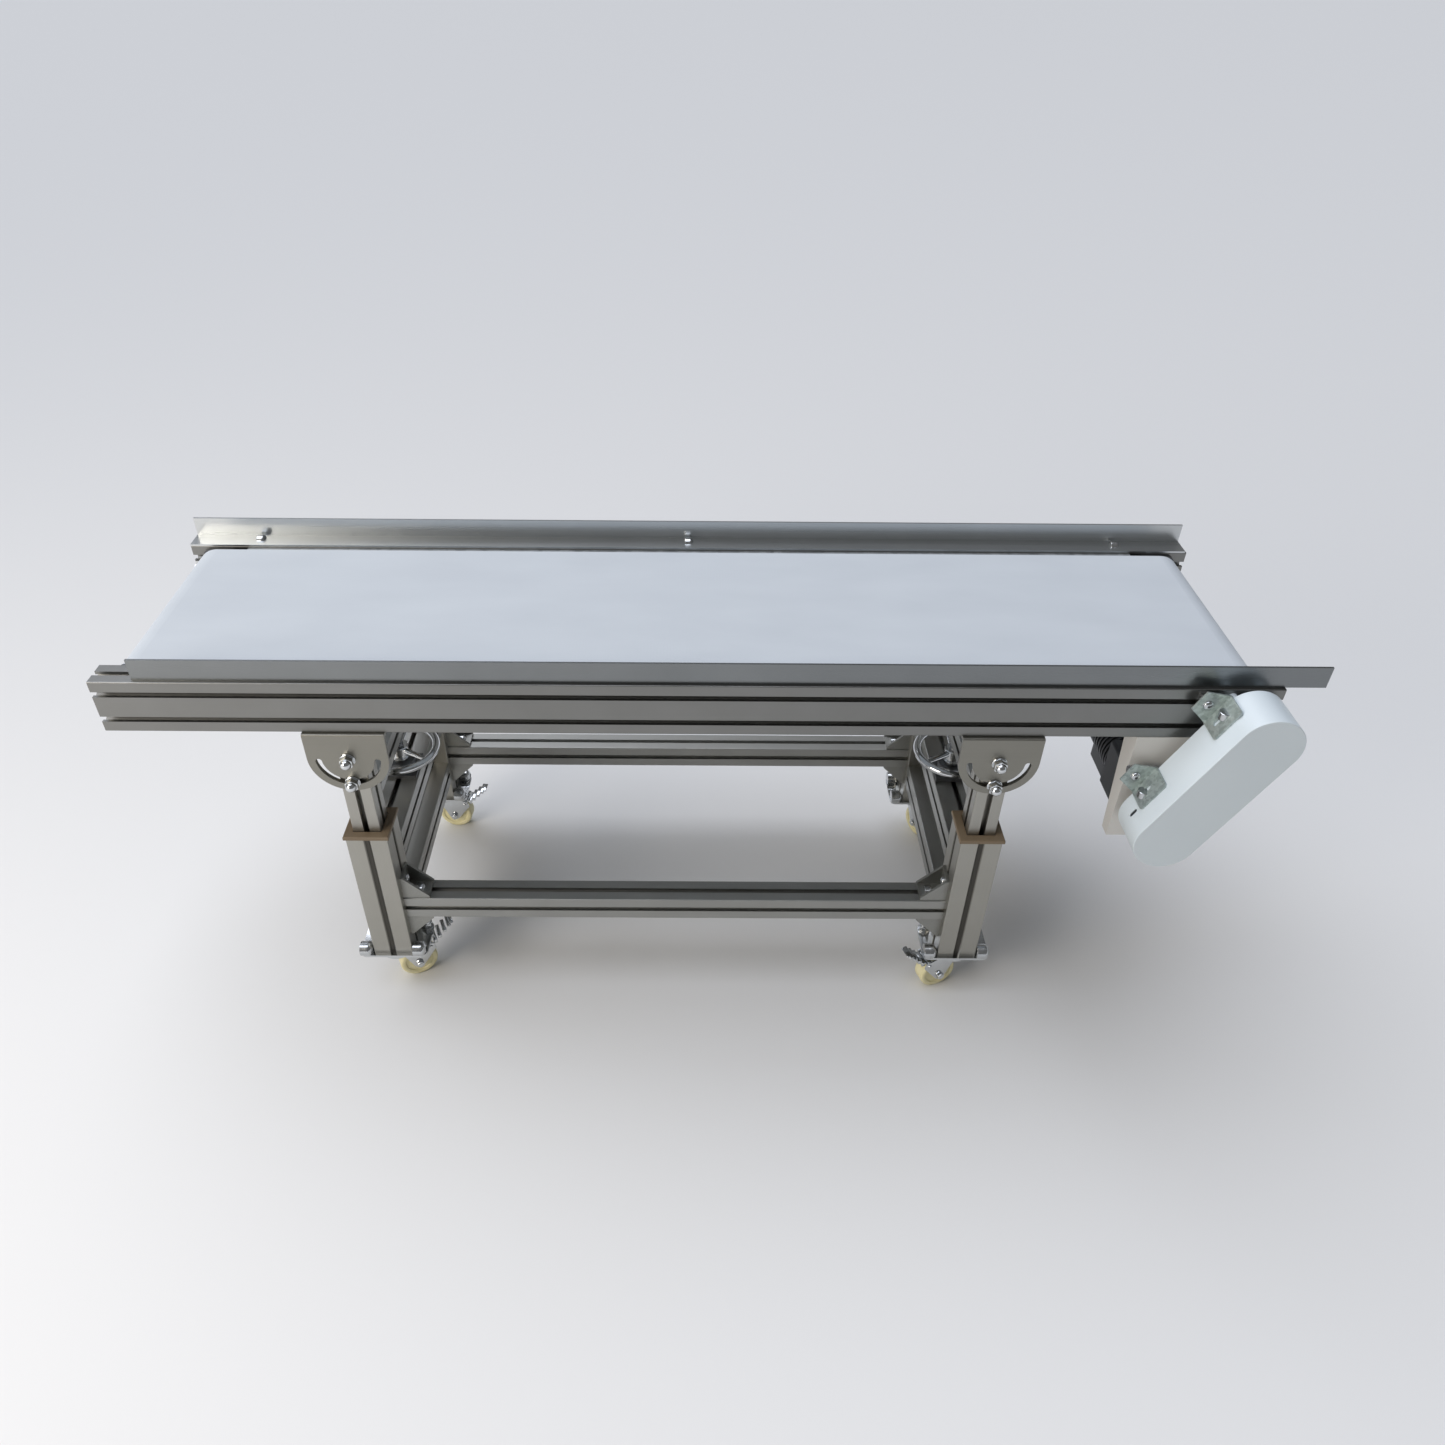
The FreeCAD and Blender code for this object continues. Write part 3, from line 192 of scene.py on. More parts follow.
def sawn(piece, point, waste_side):
    """Saw a piece through a point, in millimetres, and throw away one side."""
    only(piece)
    bpy.ops.object.mode_set(mode="EDIT")
    bpy.ops.mesh.select_all(action="SELECT")
    bpy.ops.mesh.bisect(plane_co=Vector(point) * mm, plane_no=waste_side, use_fill=True, clear_outer=True)
    bpy.ops.object.mode_set(mode="OBJECT")


def finished(piece, body, slot, material, *stands_for):
    """Settle a piece: its surface, the body that it rides on and the CAD nodes that it replaces."""
    apply_place(piece)
    piece.data.materials.clear()
    piece.data.materials.append(material)
    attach(piece, body)
    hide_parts(*stands_for)
    points = np.array([v.co for v in piece.data.vertices])
    print(piece.name, "faces", len(piece.data.polygons), "size mm", (np.ptp(points, axis=0) / mm).round(1))
    return piece


# %% [markdown]
# ## One helper for shader nodes
#
# Each surface is a small network. The helper adds one node, sets its options and feeds its
# inputs, either with a value or with another node's output. Colours are written as sRGB hex,
# as a paint card gives them, and turned to linear light in one place.

# %% Helpers for materials
def srgb(code):
    parts = [int(code[i:i + 2], 16) / 255 for i in (1, 3, 5)]
    return tuple(c / 12.92 if c <= 0.04045 else ((c + 0.055) / 1.055) ** 2.4 for c in parts) + (1.0,)


def add_node(material, kind, options=None, **inputs):
    """One node with its options and inputs.

    An input goes by its name, with _ for a space, or by i and its number.
    """
    made = material.node_tree.nodes.new("ShaderNode" + kind)
    for name, value in (options or {}).items():
        setattr(made, name, value)
    for name, value in inputs.items():
        numbered = name[0] == "i" and name[1:].isdigit()
        socket = made.inputs[int(name[1:]) if numbered else name.replace("_", " ")]
        if isinstance(value, bpy.types.NodeSocket):
            material.node_tree.links.new(value, socket)
        else:
            socket.default_value = value
    return made


def new_material(name, metallic, roughness, **sockets):
    """A material with only its surface shader, and that shader."""
    material = bpy.data.materials.new(name)
    material.use_nodes = True
    surface = material.node_tree.nodes["Principled BSDF"]
    surface.inputs["Metallic"].default_value = metallic
    surface.inputs["Roughness"].default_value = roughness
    for socket, value in sockets.items():
        surface.inputs[socket.replace("_", " ")].default_value = value
    return material, surface


def pattern_space(material, cell_mm):
    """Object coordinates in cells of the given size along x, y and z, in millimetres."""
    place = add_node(material, "TexCoord").outputs["Object"]
    scale = tuple(1000.0 / size for size in cell_mm)
    return add_node(material, "Mapping", Vector=place, Scale=scale).outputs["Vector"]


def shade_by(material, surface, amount, dark, light):
    """Let a pattern run the base colour between two shades."""
    mix = add_node(material, "Mix", {"data_type": "RGBA"}, i0=amount, i6=srgb(dark), i7=srgb(light))
    material.node_tree.links.new(mix.outputs[2], surface.inputs["Base Color"])


def roughen_by(material, surface, amount, smoothest, roughest):
    """Let a pattern run the roughness between two values."""
    spread = add_node(material, "MapRange", Value=amount, To_Min=smoothest, To_Max=roughest)
    material.node_tree.links.new(spread.outputs["Result"], surface.inputs["Roughness"])


def relief_by(material, surface, height, depth_mm):
    """Let a pattern raise the surface by up to a depth in millimetres."""
    bump = add_node(material, "Bump", Height=height, Distance=depth_mm * mm, Strength=1.0)
    material.node_tree.links.new(bump.outputs["Normal"], surface.inputs["Normal"])


# %% [markdown]
# ## Anodised aluminium
#
# The rails, beams and posts are extruded aluminium with a clear anodised skin. The die leaves
# faint straight lines along the length, and the etch before anodising makes the metal satin.
# Noise stretched along the length draws both: the lines are 1.5 mm apart here, coarser than
# real ones, so that they show. Slow, wide noise adds the slight cloudiness of handled metal.

# %% Anodised and brushed aluminium
line_length_mm, cloud_mm = 900.0, 90.0


def along_the_grain(axis, fine, coarse):
    """Pattern cell sizes: fine across the grain and coarse along one axis."""
    return tuple(coarse if letter == axis else fine for letter in "xyz")


def drawn_aluminium(name, axis, dark, light, smoothest, roughest, line_mm=1.5):
    """Aluminium with straight lines along one axis."""
    material, surface = new_material(name, 1.0, 0.4)
    grain = along_the_grain(axis, line_mm, line_length_mm)
    lines = add_node(material, "TexNoise", Vector=pattern_space(material, grain), Scale=1.0, Detail=2.0)
    clouds = add_node(material, "TexNoise", Vector=pattern_space(material, (cloud_mm,) * 3), Scale=1.0,
                      Detail=3.0)
    shade_by(material, surface, clouds.outputs["Fac"], dark, light)
    roughen_by(material, surface, lines.outputs["Fac"], smoothest, roughest)
    relief_by(material, surface, lines.outputs["Fac"], 0.012)
    return material


# Rails and beams are one anodised aluminium: the lengthwise and crosswise beams take a lighter shade than the
# rails, as painted light making up for the shade under the bed.
rail_finish = drawn_aluminium("anodised_bed_rail", "x", "#7E7E7B", "#8A8A88", 0.28, 0.46)
profile_x = drawn_aluminium("anodised_profile_lengthwise", "x", "#9B9B97", "#A8A8A4", 0.28, 0.46)
profile_y = drawn_aluminium("anodised_profile_crosswise", "y", "#9B9B97", "#A8A8A4", 0.28, 0.46)
profile_z = drawn_aluminium("anodised_profile_upright", "z", "#A3A19A", "#B0AEA7", 0.30, 0.48)
post_finish = drawn_aluminium("anodised_post_tube", "z", "#A3A199", "#B0AEA7", 0.30, 0.48)
# The front and rear guards are one brushed sheet: the front one is painted darker than the rear one, as
# painted shade for its outer face.
brushed_guard = drawn_aluminium("brushed_front_guard_sheet", "x", "#7C7F80", "#898C8D", 0.22, 0.38, 0.9)
bright_guard = drawn_aluminium("brushed_rear_guard_sheet", "x", "#C0C3C4", "#CCCFD0", 0.22, 0.38, 0.9)
rolled_plate = drawn_aluminium("sawn_aluminium_plate", "x", "#87857D", "#939189", 0.34, 0.5, 0.8)

# The groove down each face of an outer post is painted darker: painted shade, standing for the shade that
# falls in the recess. A post repeats every leg spacing along x and every row spacing along y, and a point is
# in a groove where it is within half the groove's mouth of the post's middle, either way.
left_leg = Vector(joints["swivel_front_left"]["pos_m"])
right_leg = Vector(joints["swivel_front_right"]["pos_m"])
rear_leg = Vector(joints["swivel_rear_left"]["pos_m"])
leg_grid = (("X", left_leg.x, right_leg.x - left_leg.x), ("Y", left_leg.y, rear_leg.y - left_leg.y))
groove_dark, groove_shade_ends = 3.0 * mm, 5.6 * mm
post_place = add_node(post_finish, "SeparateXYZ", Vector=add_node(post_finish, "TexCoord").outputs["Object"])
off_middle = []
for letter, start, spacing in leg_grid:
    moved = add_node(post_finish, "Math", {"operation": "SUBTRACT"}, i0=post_place.outputs[letter], i1=start)
    off_middle.append(add_node(post_finish, "Math", {"operation": "PINGPONG"}, i0=moved.outputs["Value"],
                               i1=spacing / 2).outputs["Value"])
nearest = add_node(post_finish, "Math", {"operation": "MINIMUM"}, i0=off_middle[0], i1=off_middle[1])
groove_painted_shade = add_node(post_finish, "MapRange", Value=nearest.outputs["Value"], From_Min=groove_dark,
                 From_Max=groove_shade_ends, To_Min=0.0, To_Max=1.0)
post_surface = post_finish.node_tree.nodes["Principled BSDF"]
unshaded_colour = post_surface.inputs["Base Color"].links[0].from_socket
# Painted shade: #4E4C47 darkens the base colour across the groove's middle and fades out towards its edges.
groove_shaded_colour = add_node(post_finish, "Mix", {"data_type": "RGBA"}, i0=groove_painted_shade.outputs["Result"], i6=srgb("#4E4C47"),
                   i7=unshaded_colour)
post_finish.node_tree.links.new(groove_shaded_colour.outputs[2], post_surface.inputs["Base Color"])
print("aluminium finishes ready")

# %% [markdown]
# ## Belt, paint and plastics
#
# The belt is a polyester fabric with a smooth white PVC cover: matte, slightly blue, with the
# weave just showing through. The chain cover and the motor bracket are powder coated, which
# dries to a soft orange peel. The guide caps are brown phenolic laminate, and the caster
# tyres are cream nylon that has yellowed with age.

# %% Belt, paint and plastics
weave_mm, scuff_mm = 14.0, (160.0, 60.0, 60.0)
peel_mm, dust_mm = 3.0, 120.0


def woven_belt():
    material, surface = new_material("white_pvc_belt", 0.0, 0.5, Specular_IOR_Level=0.4)
    across, along = (add_node(material, "TexWave", {"bands_direction": letter}, Scale=1.0, Distortion=0.2,
                              Vector=pattern_space(material, (weave_mm,) * 3)) for letter in "XY")
    weave = add_node(material, "Math", {"operation": "MULTIPLY"}, i0=across.outputs["Fac"],
                     i1=along.outputs["Fac"])
    marks = add_node(material, "TexNoise", Vector=pattern_space(material, scuff_mm), Scale=1.0, Detail=4.0)
    shade_by(material, surface, marks.outputs["Fac"], "#BCC2C8", "#C8CED3")
    roughen_by(material, surface, marks.outputs["Fac"], 0.42, 0.58)
    relief_by(material, surface, weave.outputs["Value"], 0.03)
    return material


def powder_coat(name, dark, light, smoothest, roughest):
    material, surface = new_material(name, 0.0, 0.4, Coat_Weight=0.15, Coat_Roughness=0.25)
    peel, dust = (add_node(material, "TexNoise", Vector=pattern_space(material, (cell_mm,) * 3), Scale=1.0,
                           Detail=detail) for cell_mm, detail in ((peel_mm, 1.0), (dust_mm, 4.0)))
    shade_by(material, surface, dust.outputs["Fac"], dark, light)
    roughen_by(material, surface, dust.outputs["Fac"], smoothest, roughest)
    relief_by(material, surface, peel.outputs["Fac"], 0.03)
    return material


def moulded_plastic(name, dark, light, grain_mm, smoothest, roughest, **sockets):
    material, surface = new_material(name, 0.0, 0.5, **sockets)
    grain = add_node(material, "TexNoise", Vector=pattern_space(material, grain_mm), Scale=1.0, Detail=3.0)
    shade_by(material, surface, grain.outputs["Fac"], dark, light)
    roughen_by(material, surface, grain.outputs["Fac"], smoothest, roughest)
    relief_by(material, surface, grain.outputs["Fac"], 0.02)
    return material


belt_cover = woven_belt()
white_coat = powder_coat("white_powder_coat", "#C9D3D8", "#D5DEE2", 0.34, 0.46)
grey_coat = powder_coat("light_grey_powder_coat", "#C3C1BC", "#CECCC7", 0.4, 0.52)
black_paint = powder_coat("black_machine_enamel", "#15161A", "#1F2023", 0.32, 0.5)
brown_laminate = moulded_plastic("brown_phenolic_laminate", "#665642", "#82725B", (60.0, 60.0, 1.2), 0.4, 0.6)
black_acetal = moulded_plastic("black_acetal", "#141414", "#1E1E1E", (2.0, 2.0, 2.0), 0.35, 0.5)
cream_nylon = moulded_plastic("cream_nylon_tyre", "#D8CE98", "#EBE4C0", (14.0, 14.0, 14.0), 0.35, 0.5)
print("belt, paint and plastics ready")

# %% [markdown]
# ## Plated, cast and turned metal
#
# Chrome on the cap nuts, handwheels and casters is nearly a mirror, with only a little haze.
# Zinc plate is duller and shows crystals of slightly different grey. Cast pieces keep the
# grain of their mould, and turned steel keeps the fine rings of the tool.

# %% Plated, cast and turned metal
def grained_metal(name, dark, light, grain_mm, smoothest, roughest, depth_mm):
    """Metal whose noise, stretched or not, sets its shade, gloss and relief."""
    material, surface = new_material(name, 1.0, 0.3)
    grain = add_node(material, "TexNoise", Vector=pattern_space(material, grain_mm), Scale=1.0, Detail=3.0)
    shade_by(material, surface, grain.outputs["Fac"], dark, light)
    roughen_by(material, surface, grain.outputs["Fac"], smoothest, roughest)
    relief_by(material, surface, grain.outputs["Fac"], depth_mm)
    return material


def zinc_plate(name, dark, light, crystal_mm):
    """Zinc in crystals, each with its own shade, dulled by its white oxide."""
    material, surface = new_material(name, 0.7, 0.4)
    crystals = add_node(material, "TexVoronoi", Vector=pattern_space(material, (crystal_mm,) * 3), Scale=1.0)
    one_shade = add_node(material, "SeparateColor", Color=crystals.outputs["Color"])
    shade_by(material, surface, one_shade.outputs["Red"], dark, light)
    roughen_by(material, surface, one_shade.outputs["Green"], 0.28, 0.5)
    relief_by(material, surface, crystals.outputs["Distance"], 0.01)
    return material


chrome = grained_metal("chrome_plate", "#C6C9CB", "#E2E4E5", (25.0, 25.0, 25.0), 0.06, 0.16, 0.004)
bright_zinc = grained_metal("bright_zinc_screw", "#B9BCBE", "#D6D8D9", (6.0, 6.0, 6.0), 0.14, 0.28, 0.004)
zinc_sheet = zinc_plate("galvanised_sheet", "#9AA5A3", "#B9C3C1", 4.0)
slider_sheet = zinc_plate("galvanised_slider_sheet", "#9A9FA1", "#B4B8BA", 9.0)
cast_aluminium = grained_metal("die_cast_aluminium", "#8E8E8A", "#A6A6A1", (1.6, 1.6, 1.6), 0.34, 0.52, 0.03)
cast_iron = grained_metal("grey_cast_iron", "#5E6062", "#76787A", (1.4, 1.4, 1.4), 0.4, 0.6, 0.04)
turned_steel = grained_metal("turned_steel", "#9FA2A4", "#B9BCBE", (40.0, 1.0, 40.0), 0.2, 0.34, 0.006)
oiled_steel = grained_metal("oiled_chain_steel", "#3A3835", "#5A5753", (3.0, 3.0, 3.0), 0.25, 0.45, 0.01)
bronze = grained_metal("cast_bronze", "#8F6F3B", "#B08D55", (3.0, 3.0, 3.0), 0.25, 0.42, 0.01)
ground_steel = grained_metal("rolled_thread_steel", "#8E9092", "#ABADAF", (2.0, 2.0, 2.0), 0.2, 0.36, 0.004)
print("metals ready")

# %% [markdown]
# ## Dressing the frame
#
# A CAD node keeps its shape, and only its material slots change. The grain has to run along
# each piece, so rails, cross beams and posts take the same metal in three directions.

# %% Materials of the CAD nodes
def dress(material, *names):
    for name in names:
        mesh = nodes[name].data
        if not mesh.materials:
            mesh.materials.append(material)
        for i in range(len(mesh.materials)):
            mesh.materials[i] = material


dress(rail_finish, "front_rail", "rear_rail")
dress(profile_x, "front_long_beam", "rear_long_beam")
dress(profile_y, "upper_cross_beams", "lower_cross_beams", "left_lift_beam", "right_lift_beam", "cross_ties")
dress(profile_z, "left_inner_posts", "right_inner_posts")
dress(post_finish, "outer_posts")
dress(brushed_guard, "front_guard")
dress(bright_guard, "rear_guard")
dress(rolled_plate, "tilt_brackets")
dress(belt_cover, "conveyor_belt")
dress(white_coat, "drive_cover", "cover_backplate")
dress(grey_coat, "motor_bracket")
dress(black_paint, "gearbox", "motor")
dress(brown_laminate, "guide_caps")
dress(black_acetal, "left_post_shoes", "right_post_shoes")
dress(zinc_sheet, "cover_brackets")
dress(slider_sheet, "slider_bed")
dress(cast_aluminium, "corner_brackets")
dress(cast_iron, "roller_bearings", "screw_bearings")
dress(turned_steel, "drive_roller", "tail_roller")
dress(oiled_steel, "drive_sprocket", "motor_sprocket", "drive_chain")
dress(bronze, "left_lift_nut", "right_lift_nut")
dress(bright_zinc, "tension_screws", "guard_bolts", "tilt_bracket_bolts", "cover_bolts", "frame_bolts",
      "left_pivot_bolts", "right_pivot_bolts")
dress(ground_steel, "left_lead_screw", "right_lead_screw")
dress(chrome, "left_handwheel", "right_handwheel", "caster_plates")
for name in nodes:
    if name.startswith(("caster_fork", "brake_pedal")):
        dress(chrome, name)
    if name.startswith("caster_wheel"):
        dress(cream_nylon, name)

# %% [markdown]
# ## Finding the fasteners
#
# The frame says where every screw and nut is: each is a separate solid in a node. A fastener
# is round, so across its own axis it measures the same both ways, and that picks its axis out
# of the few that the machine has. Its widest ring is the seat face of the head or washer.

# %% Measure the fasteners
def solids_of(node):
    """The points of each separate solid in a node."""
    mesh = nodes[node].data
    points = np.array([v.co for v in mesh.vertices])
    _, place = np.unique((points / 1e-6).round().astype(int), axis=0, return_inverse=True)
    place = place.ravel()
    group = np.arange(place.max() + 1)

    def head_of(i):
        while group[i] != i:
            group[i] = group[group[i]]
            i = group[i]
        return i

    for edge in mesh.edges:
        group[head_of(place[edge.vertices[0]])] = head_of(place[edge.vertices[1]])
    heads = np.array([head_of(i) for i in place])
    return [points[heads == head] for head in np.unique(heads)]


drive_axis = Vector(joints["drive_roller_turn"]["pos_m"])
motor_axis = Vector(joints["motor_sprocket_turn"]["pos_m"])
chain_way = Vector((motor_axis.x - drive_axis.x, 0, motor_axis.z - drive_axis.z)).normalized()
chain_side = Vector((chain_way.z, 0, -chain_way.x))
machine_axes = [Vector((1, 0, 0)), Vector((0, 1, 0)), Vector((0, 0, 1)), chain_side]


def fastener(points):
    """Seat, direction and sizes in millimetres of one screw, cap nut or bush."""
    def uneven(axis):
        across = [np.ptp(points @ np.array(side)) for side in (axis.orthogonal().normalized(),
                                                               axis.cross(axis.orthogonal()).normalized())]
        return abs(across[0] - across[1])

    axis = np.array(min(machine_axes, key=uneven))
    centre = (points.min(0) + points.max(0)) / 2
    along = (points - centre) @ axis
    out = np.linalg.norm(points - centre - np.outer(along, axis), axis=1)
    wide = along[out > out.max() - 0.02 * mm]
    ends = [out[along < wide.min() - 0.01 * mm], out[along > wide.max() + 0.01 * mm]]
    reach = [ring.max() if len(ring) else 0.0 for ring in ends]
    if reach[0] > reach[1]:
        axis, along, wide, reach = -axis, -along, -wide, reach[::-1]
    seat = wide.min()
    return {"seat": centre + axis * seat, "way": axis, "head_r": out.max() / mm, "shank_r": reach[0] / mm,
            "head": (along.max() - seat) / mm, "shank": (seat - along.min()) / mm, "bore_r": out.min() / mm}


for node in ("guard_bolts", "tilt_bracket_bolts", "cover_bolts", "frame_bolts"):
    kinds = {tuple(round(float(found[part]), 1) for part in ("head_r", "shank_r", "head", "shank"))
             for found in map(fastener, solids_of(node))}
    print(node, "head radius, shank radius, head, shank:", sorted(kinds))

# %% [markdown]
# ## Screws, cap nuts and bushes
#
# A button-head screw is a low dome with a hexagon key socket, cut here with a boolean as the
# punch does it. A cap nut is a hexagon under a polished dome, on a flange that spreads its
# load. One of each size is modelled, then copied to every seat that the frame gives.

# %% Model and seat the fasteners
tip_chamfer, flange_height, flange_edge = 0.6, 1.5, 0.5


def button_screw(shank_r, head_r, head, shank):
    """A button-head screw with its seat at the origin and its head up."""
    rise = map(math.radians, range(0, 60, 10))
    dome = [(head_r * math.cos(a), head * (0.3 + 0.7 * math.sin(a))) for a in rise]
    outline = [(shank_r - tip_chamfer, -shank), (shank_r, tip_chamfer - shank), (shank_r, 0), (head_r, 0)]
    screw = turned("button_screw", outline + dome + [(head_r * 0.42, head)], 28)
    key = hexagon("key", head_r * 0.66, head * 0.4, head * 2, 0)
    socket = screw.modifiers.new("socket", "BOOLEAN")
    socket.operation, socket.object, socket.solver = "DIFFERENCE", key, "EXACT"
    only(screw)
    bpy.ops.object.modifier_apply(modifier=socket.name)
    dropped(key)
    smooth(screw, 30)
    return screw


def cap_nut(stud_r, flange_r, height, stud):
    """A flanged cap nut on its stud, with its seat at the origin."""
    flats = flange_r / 0.62
    dome_r = 0.46 * flats
    body_foot = 1.4
    dome_foot = height - dome_r
    flange = turned("flange", [(stud_r, 0), (flange_r, 0), (flange_r, flange_height - flange_edge),
                               (flange_r - flange_edge, flange_height), (stud_r, flange_height),
                               (stud_r, 0)], 36)
    body = hexagon("body", flats, body_foot, dome_foot, 0.5)
    rise = map(math.radians, range(10, 90, 10))
    curve = [(dome_r * math.cos(a), dome_foot + dome_r * math.sin(a)) for a in rise]
    dome = turned("dome", [(dome_r, dome_foot - 0.4), (dome_r, dome_foot)] + curve + [(0.2, height)], 36)
    end = turned("stud", [(stud_r - tip_chamfer, -stud), (stud_r, tip_chamfer - stud),
                          (stud_r, body_foot)], 24)
    nut = joined([flange, body, dome, end], "cap_nut")
    smooth(nut, 35)
    return nut


def bush(outer_r, bore_r, length):
    """A distance tube with broken edges."""
    tube = turned("bush", [(bore_r, 0), (outer_r - 0.5, 0), (outer_r, 0.5), (outer_r, length - 0.5),
                           (outer_r - 0.5, length), (bore_r, length), (bore_r, 0)], 32)
    smooth(tube, 35)
    return tube


patterns = {}


def fastener_like(found):
    """The pattern for a measured fastener, modelled once for each size."""
    sizes = tuple(round(found[part], 1) for part in ("shank_r", "head_r", "head", "shank", "bore_r"))
    if sizes not in patterns:
        shank_r, head_r, head, shank, bore_r = sizes
        if not shank_r:
            patterns[sizes] = bush(head_r, bore_r, head)
        elif head > head_r:
            patterns[sizes] = cap_nut(shank_r, head_r, head, shank)
        else:
            patterns[sizes] = button_screw(shank_r, head_r, head, shank)
    return patterns[sizes]


def all_fasteners(node):
    measured = [fastener(points) for points in solids_of(node)]
    return [placed(fastener_like(found), found["seat"], found["way"]) for found in measured]


screw_bodies = {"guard_bolts": "bed", "tilt_bracket_bolts": "bed", "cover_bolts": "bed",
                "frame_bolts": "base"}
for node, body in screw_bodies.items():
    finished(joined(all_fasteners(node), node + "_detail"), body, "screw_steel", bright_zinc, node)

# %% [markdown]
# ## Pivot and clamp nuts
#
# Each tilt plate hangs on one cap nut and is clamped by a second in its curved slot. Both
# screw onto T-bolts whose square heads sit in the post's groove, so a T-head goes with them.

# %% Pivot and clamp nuts
stud_r, square_half = 4.0, 7.0
square_reach = 9.0
for side in ("left", "right"):
    node = side + "_pivot_bolts"
    pieces = []
    for points in solids_of(node):
        outward = -1 if points.mean(0)[1] < joints["bed_tilt"]["pos_m"][1] else 1
        along = points[:, 1] * outward
        centre = (points.min(0) + points.max(0)) / 2
        out = np.hypot(points[:, 0] - centre[0], points[:, 2] - centre[2])
        flange = along[out > out.max() - 0.02 * mm]
        seat = flange.min()
        nut = cap_nut(stud_r, out.max() / mm, (along.max() - seat) / mm, (seat - along.min()) / mm)
        pieces.append(placed(nut, (centre[0], seat * outward, centre[2]), (0, outward, 0)))
        dropped(nut)
        square = along[(out > square_reach * mm) & (along < seat - 1 * mm)]
        head = blank("t_head", (-square_half, -square_half, 0),
                     (square_half, square_half, np.ptp(square) / mm))
        bevelled(head, 0.8 * mm, 2, 40)
        pieces.append(placed(head, (centre[0], square.min() * outward, centre[2]), (0, outward, 0)))
        dropped(head)
    finished(joined(pieces, node + "_detail"), side + "_lift", "screw_steel", chrome, node)
dropped(*patterns.values())

# %% [markdown]
# ## Handwheels and lift screws
#
# A handwheel is a bent and welded ring on three spokes that thin towards the rim, over a hub
# that is turned with a waist. The lift screw has a trapezoidal thread of 4 mm lead, wound from
# one tooth by a screw modifier, over the length that the nut can reach.

# %% Handwheels
wheel_low, wheel_high = (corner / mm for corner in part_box("left_handwheel"))
hub_height = wheel_high.z - wheel_low.z
rim_tube, bore_r, hub_r = 6.0, 8.0, 15.0
rim_r = (wheel_high.x - wheel_low.x) / 2 - rim_tube
rim_height = hub_height - rim_tube - 1.0


def handwheel():
    """A wheel about +Z with the foot of its hub at the origin."""
    nothing_selected()
    bpy.ops.mesh.primitive_torus_add(major_segments=96, minor_segments=20, major_radius=rim_r * mm,
                                     minor_radius=rim_tube * mm, location=(0, 0, rim_height * mm))
    rim = bpy.context.object
    apply_place(rim)
    waist_r = hub_r - 2.5
    hub = turned("hub", [(bore_r, 0), (hub_r - 1, 0), (hub_r, 1), (hub_r, 6), (waist_r, 8.5), (waist_r, 12),
                         (hub_r, 14), (hub_r, hub_height - 1.2), (hub_r - 1.2, hub_height),
                         (bore_r, hub_height), (bore_r, 0)], 40)
    spoke = turned("spoke", [(5.2, bore_r + 2), (4.6, 30), (4.0, rim_r)], 20)
    spokes = []
    for turn in (90, 210, 330):
        way = (math.cos(math.radians(turn)), math.sin(math.radians(turn)), 0)
        spokes.append(placed(spoke, (0, 0, rim_height * mm), way))
    dropped(spoke)
    wheel = joined([rim, hub] + spokes, "handwheel")
    smooth(wheel, 40)
    return wheel


pattern = handwheel()
for side in ("left", "right"):
    low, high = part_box(side + "_handwheel")
    wheel = placed(pattern, ((low.x + high.x) / 2, (low.y + high.y) / 2, low.z), (0, 0, 1))
    wheel.name = side + "_handwheel_detail"
    finished(wheel, side + "_screw", "handwheel_chrome", chrome, side + "_handwheel")
dropped(pattern)


# %% Lift screws
thread_r, thread_lead, thread_depth = 8.0, 4.0, 1.6


def lift_screw(outer_r, lead, depth, plain, length):
    """A plain foot, a trapezoidal thread and a chamfered tip, standing on the origin, in millimetres."""
    root_r = outer_r - depth
    turns = int((length - plain - lead) / lead)
    nothing_selected()
    bpy.ops.mesh.primitive_plane_add(size=mm, location=(root_r * mm, 0, plain * mm))
    thread = bpy.context.object
    apply_place(thread)
    bpy.ops.object.mode_set(mode="EDIT")
    bpy.ops.mesh.select_all(action="SELECT")
    bpy.ops.mesh.merge(type="CENTER")
    for out, up in ((depth, 0.15), (0, 0.35), (-depth, 0.15), (0, 0.35)):
        bpy.ops.mesh.extrude_vertices_move(TRANSFORM_OT_translate={"value": (out * mm, 0, up * lead * mm)})
    bpy.ops.object.mode_set(mode="OBJECT")
    wind = thread.modifiers.new("thread", "SCREW")
    wind.screw_offset, wind.iterations, wind.steps = lead * mm, turns, 24
    wind.use_merge_vertices, wind.merge_threshold = True, 0.01 * mm
    only(thread)
    bpy.ops.object.modifier_apply(modifier=wind.name)
    closed(thread)
    tip_foot = plain + turns * lead
    foot = turned("foot", [(outer_r - 1.5, 0), (outer_r, 1.5), (outer_r, plain + 1), (root_r, plain + 3)], 32)
    tip = turned("tip", [(root_r, tip_foot - 1), (outer_r, tip_foot + 1), (outer_r, length - 1.5),
                         (outer_r - 1.5, length)], 32)
    screw = joined([thread, foot, tip], "lift_screw")
    smooth(screw, 30)
    return screw


for side in ("left", "right"):
    low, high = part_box(side + "_lead_screw")
    plain = (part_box(side + "_handwheel")[1].z - low.z) / mm
    pattern = lift_screw(thread_r, thread_lead, thread_depth, plain, (high.z - low.z) / mm)
    screw = placed(pattern, ((low.x + high.x) / 2, (low.y + high.y) / 2, low.z), (0, 0, 1))
    dropped(pattern)
    screw.name = side + "_lead_screw_detail"
    finished(screw, side + "_screw", "roller_steel", ground_steel, side + "_lead_screw")

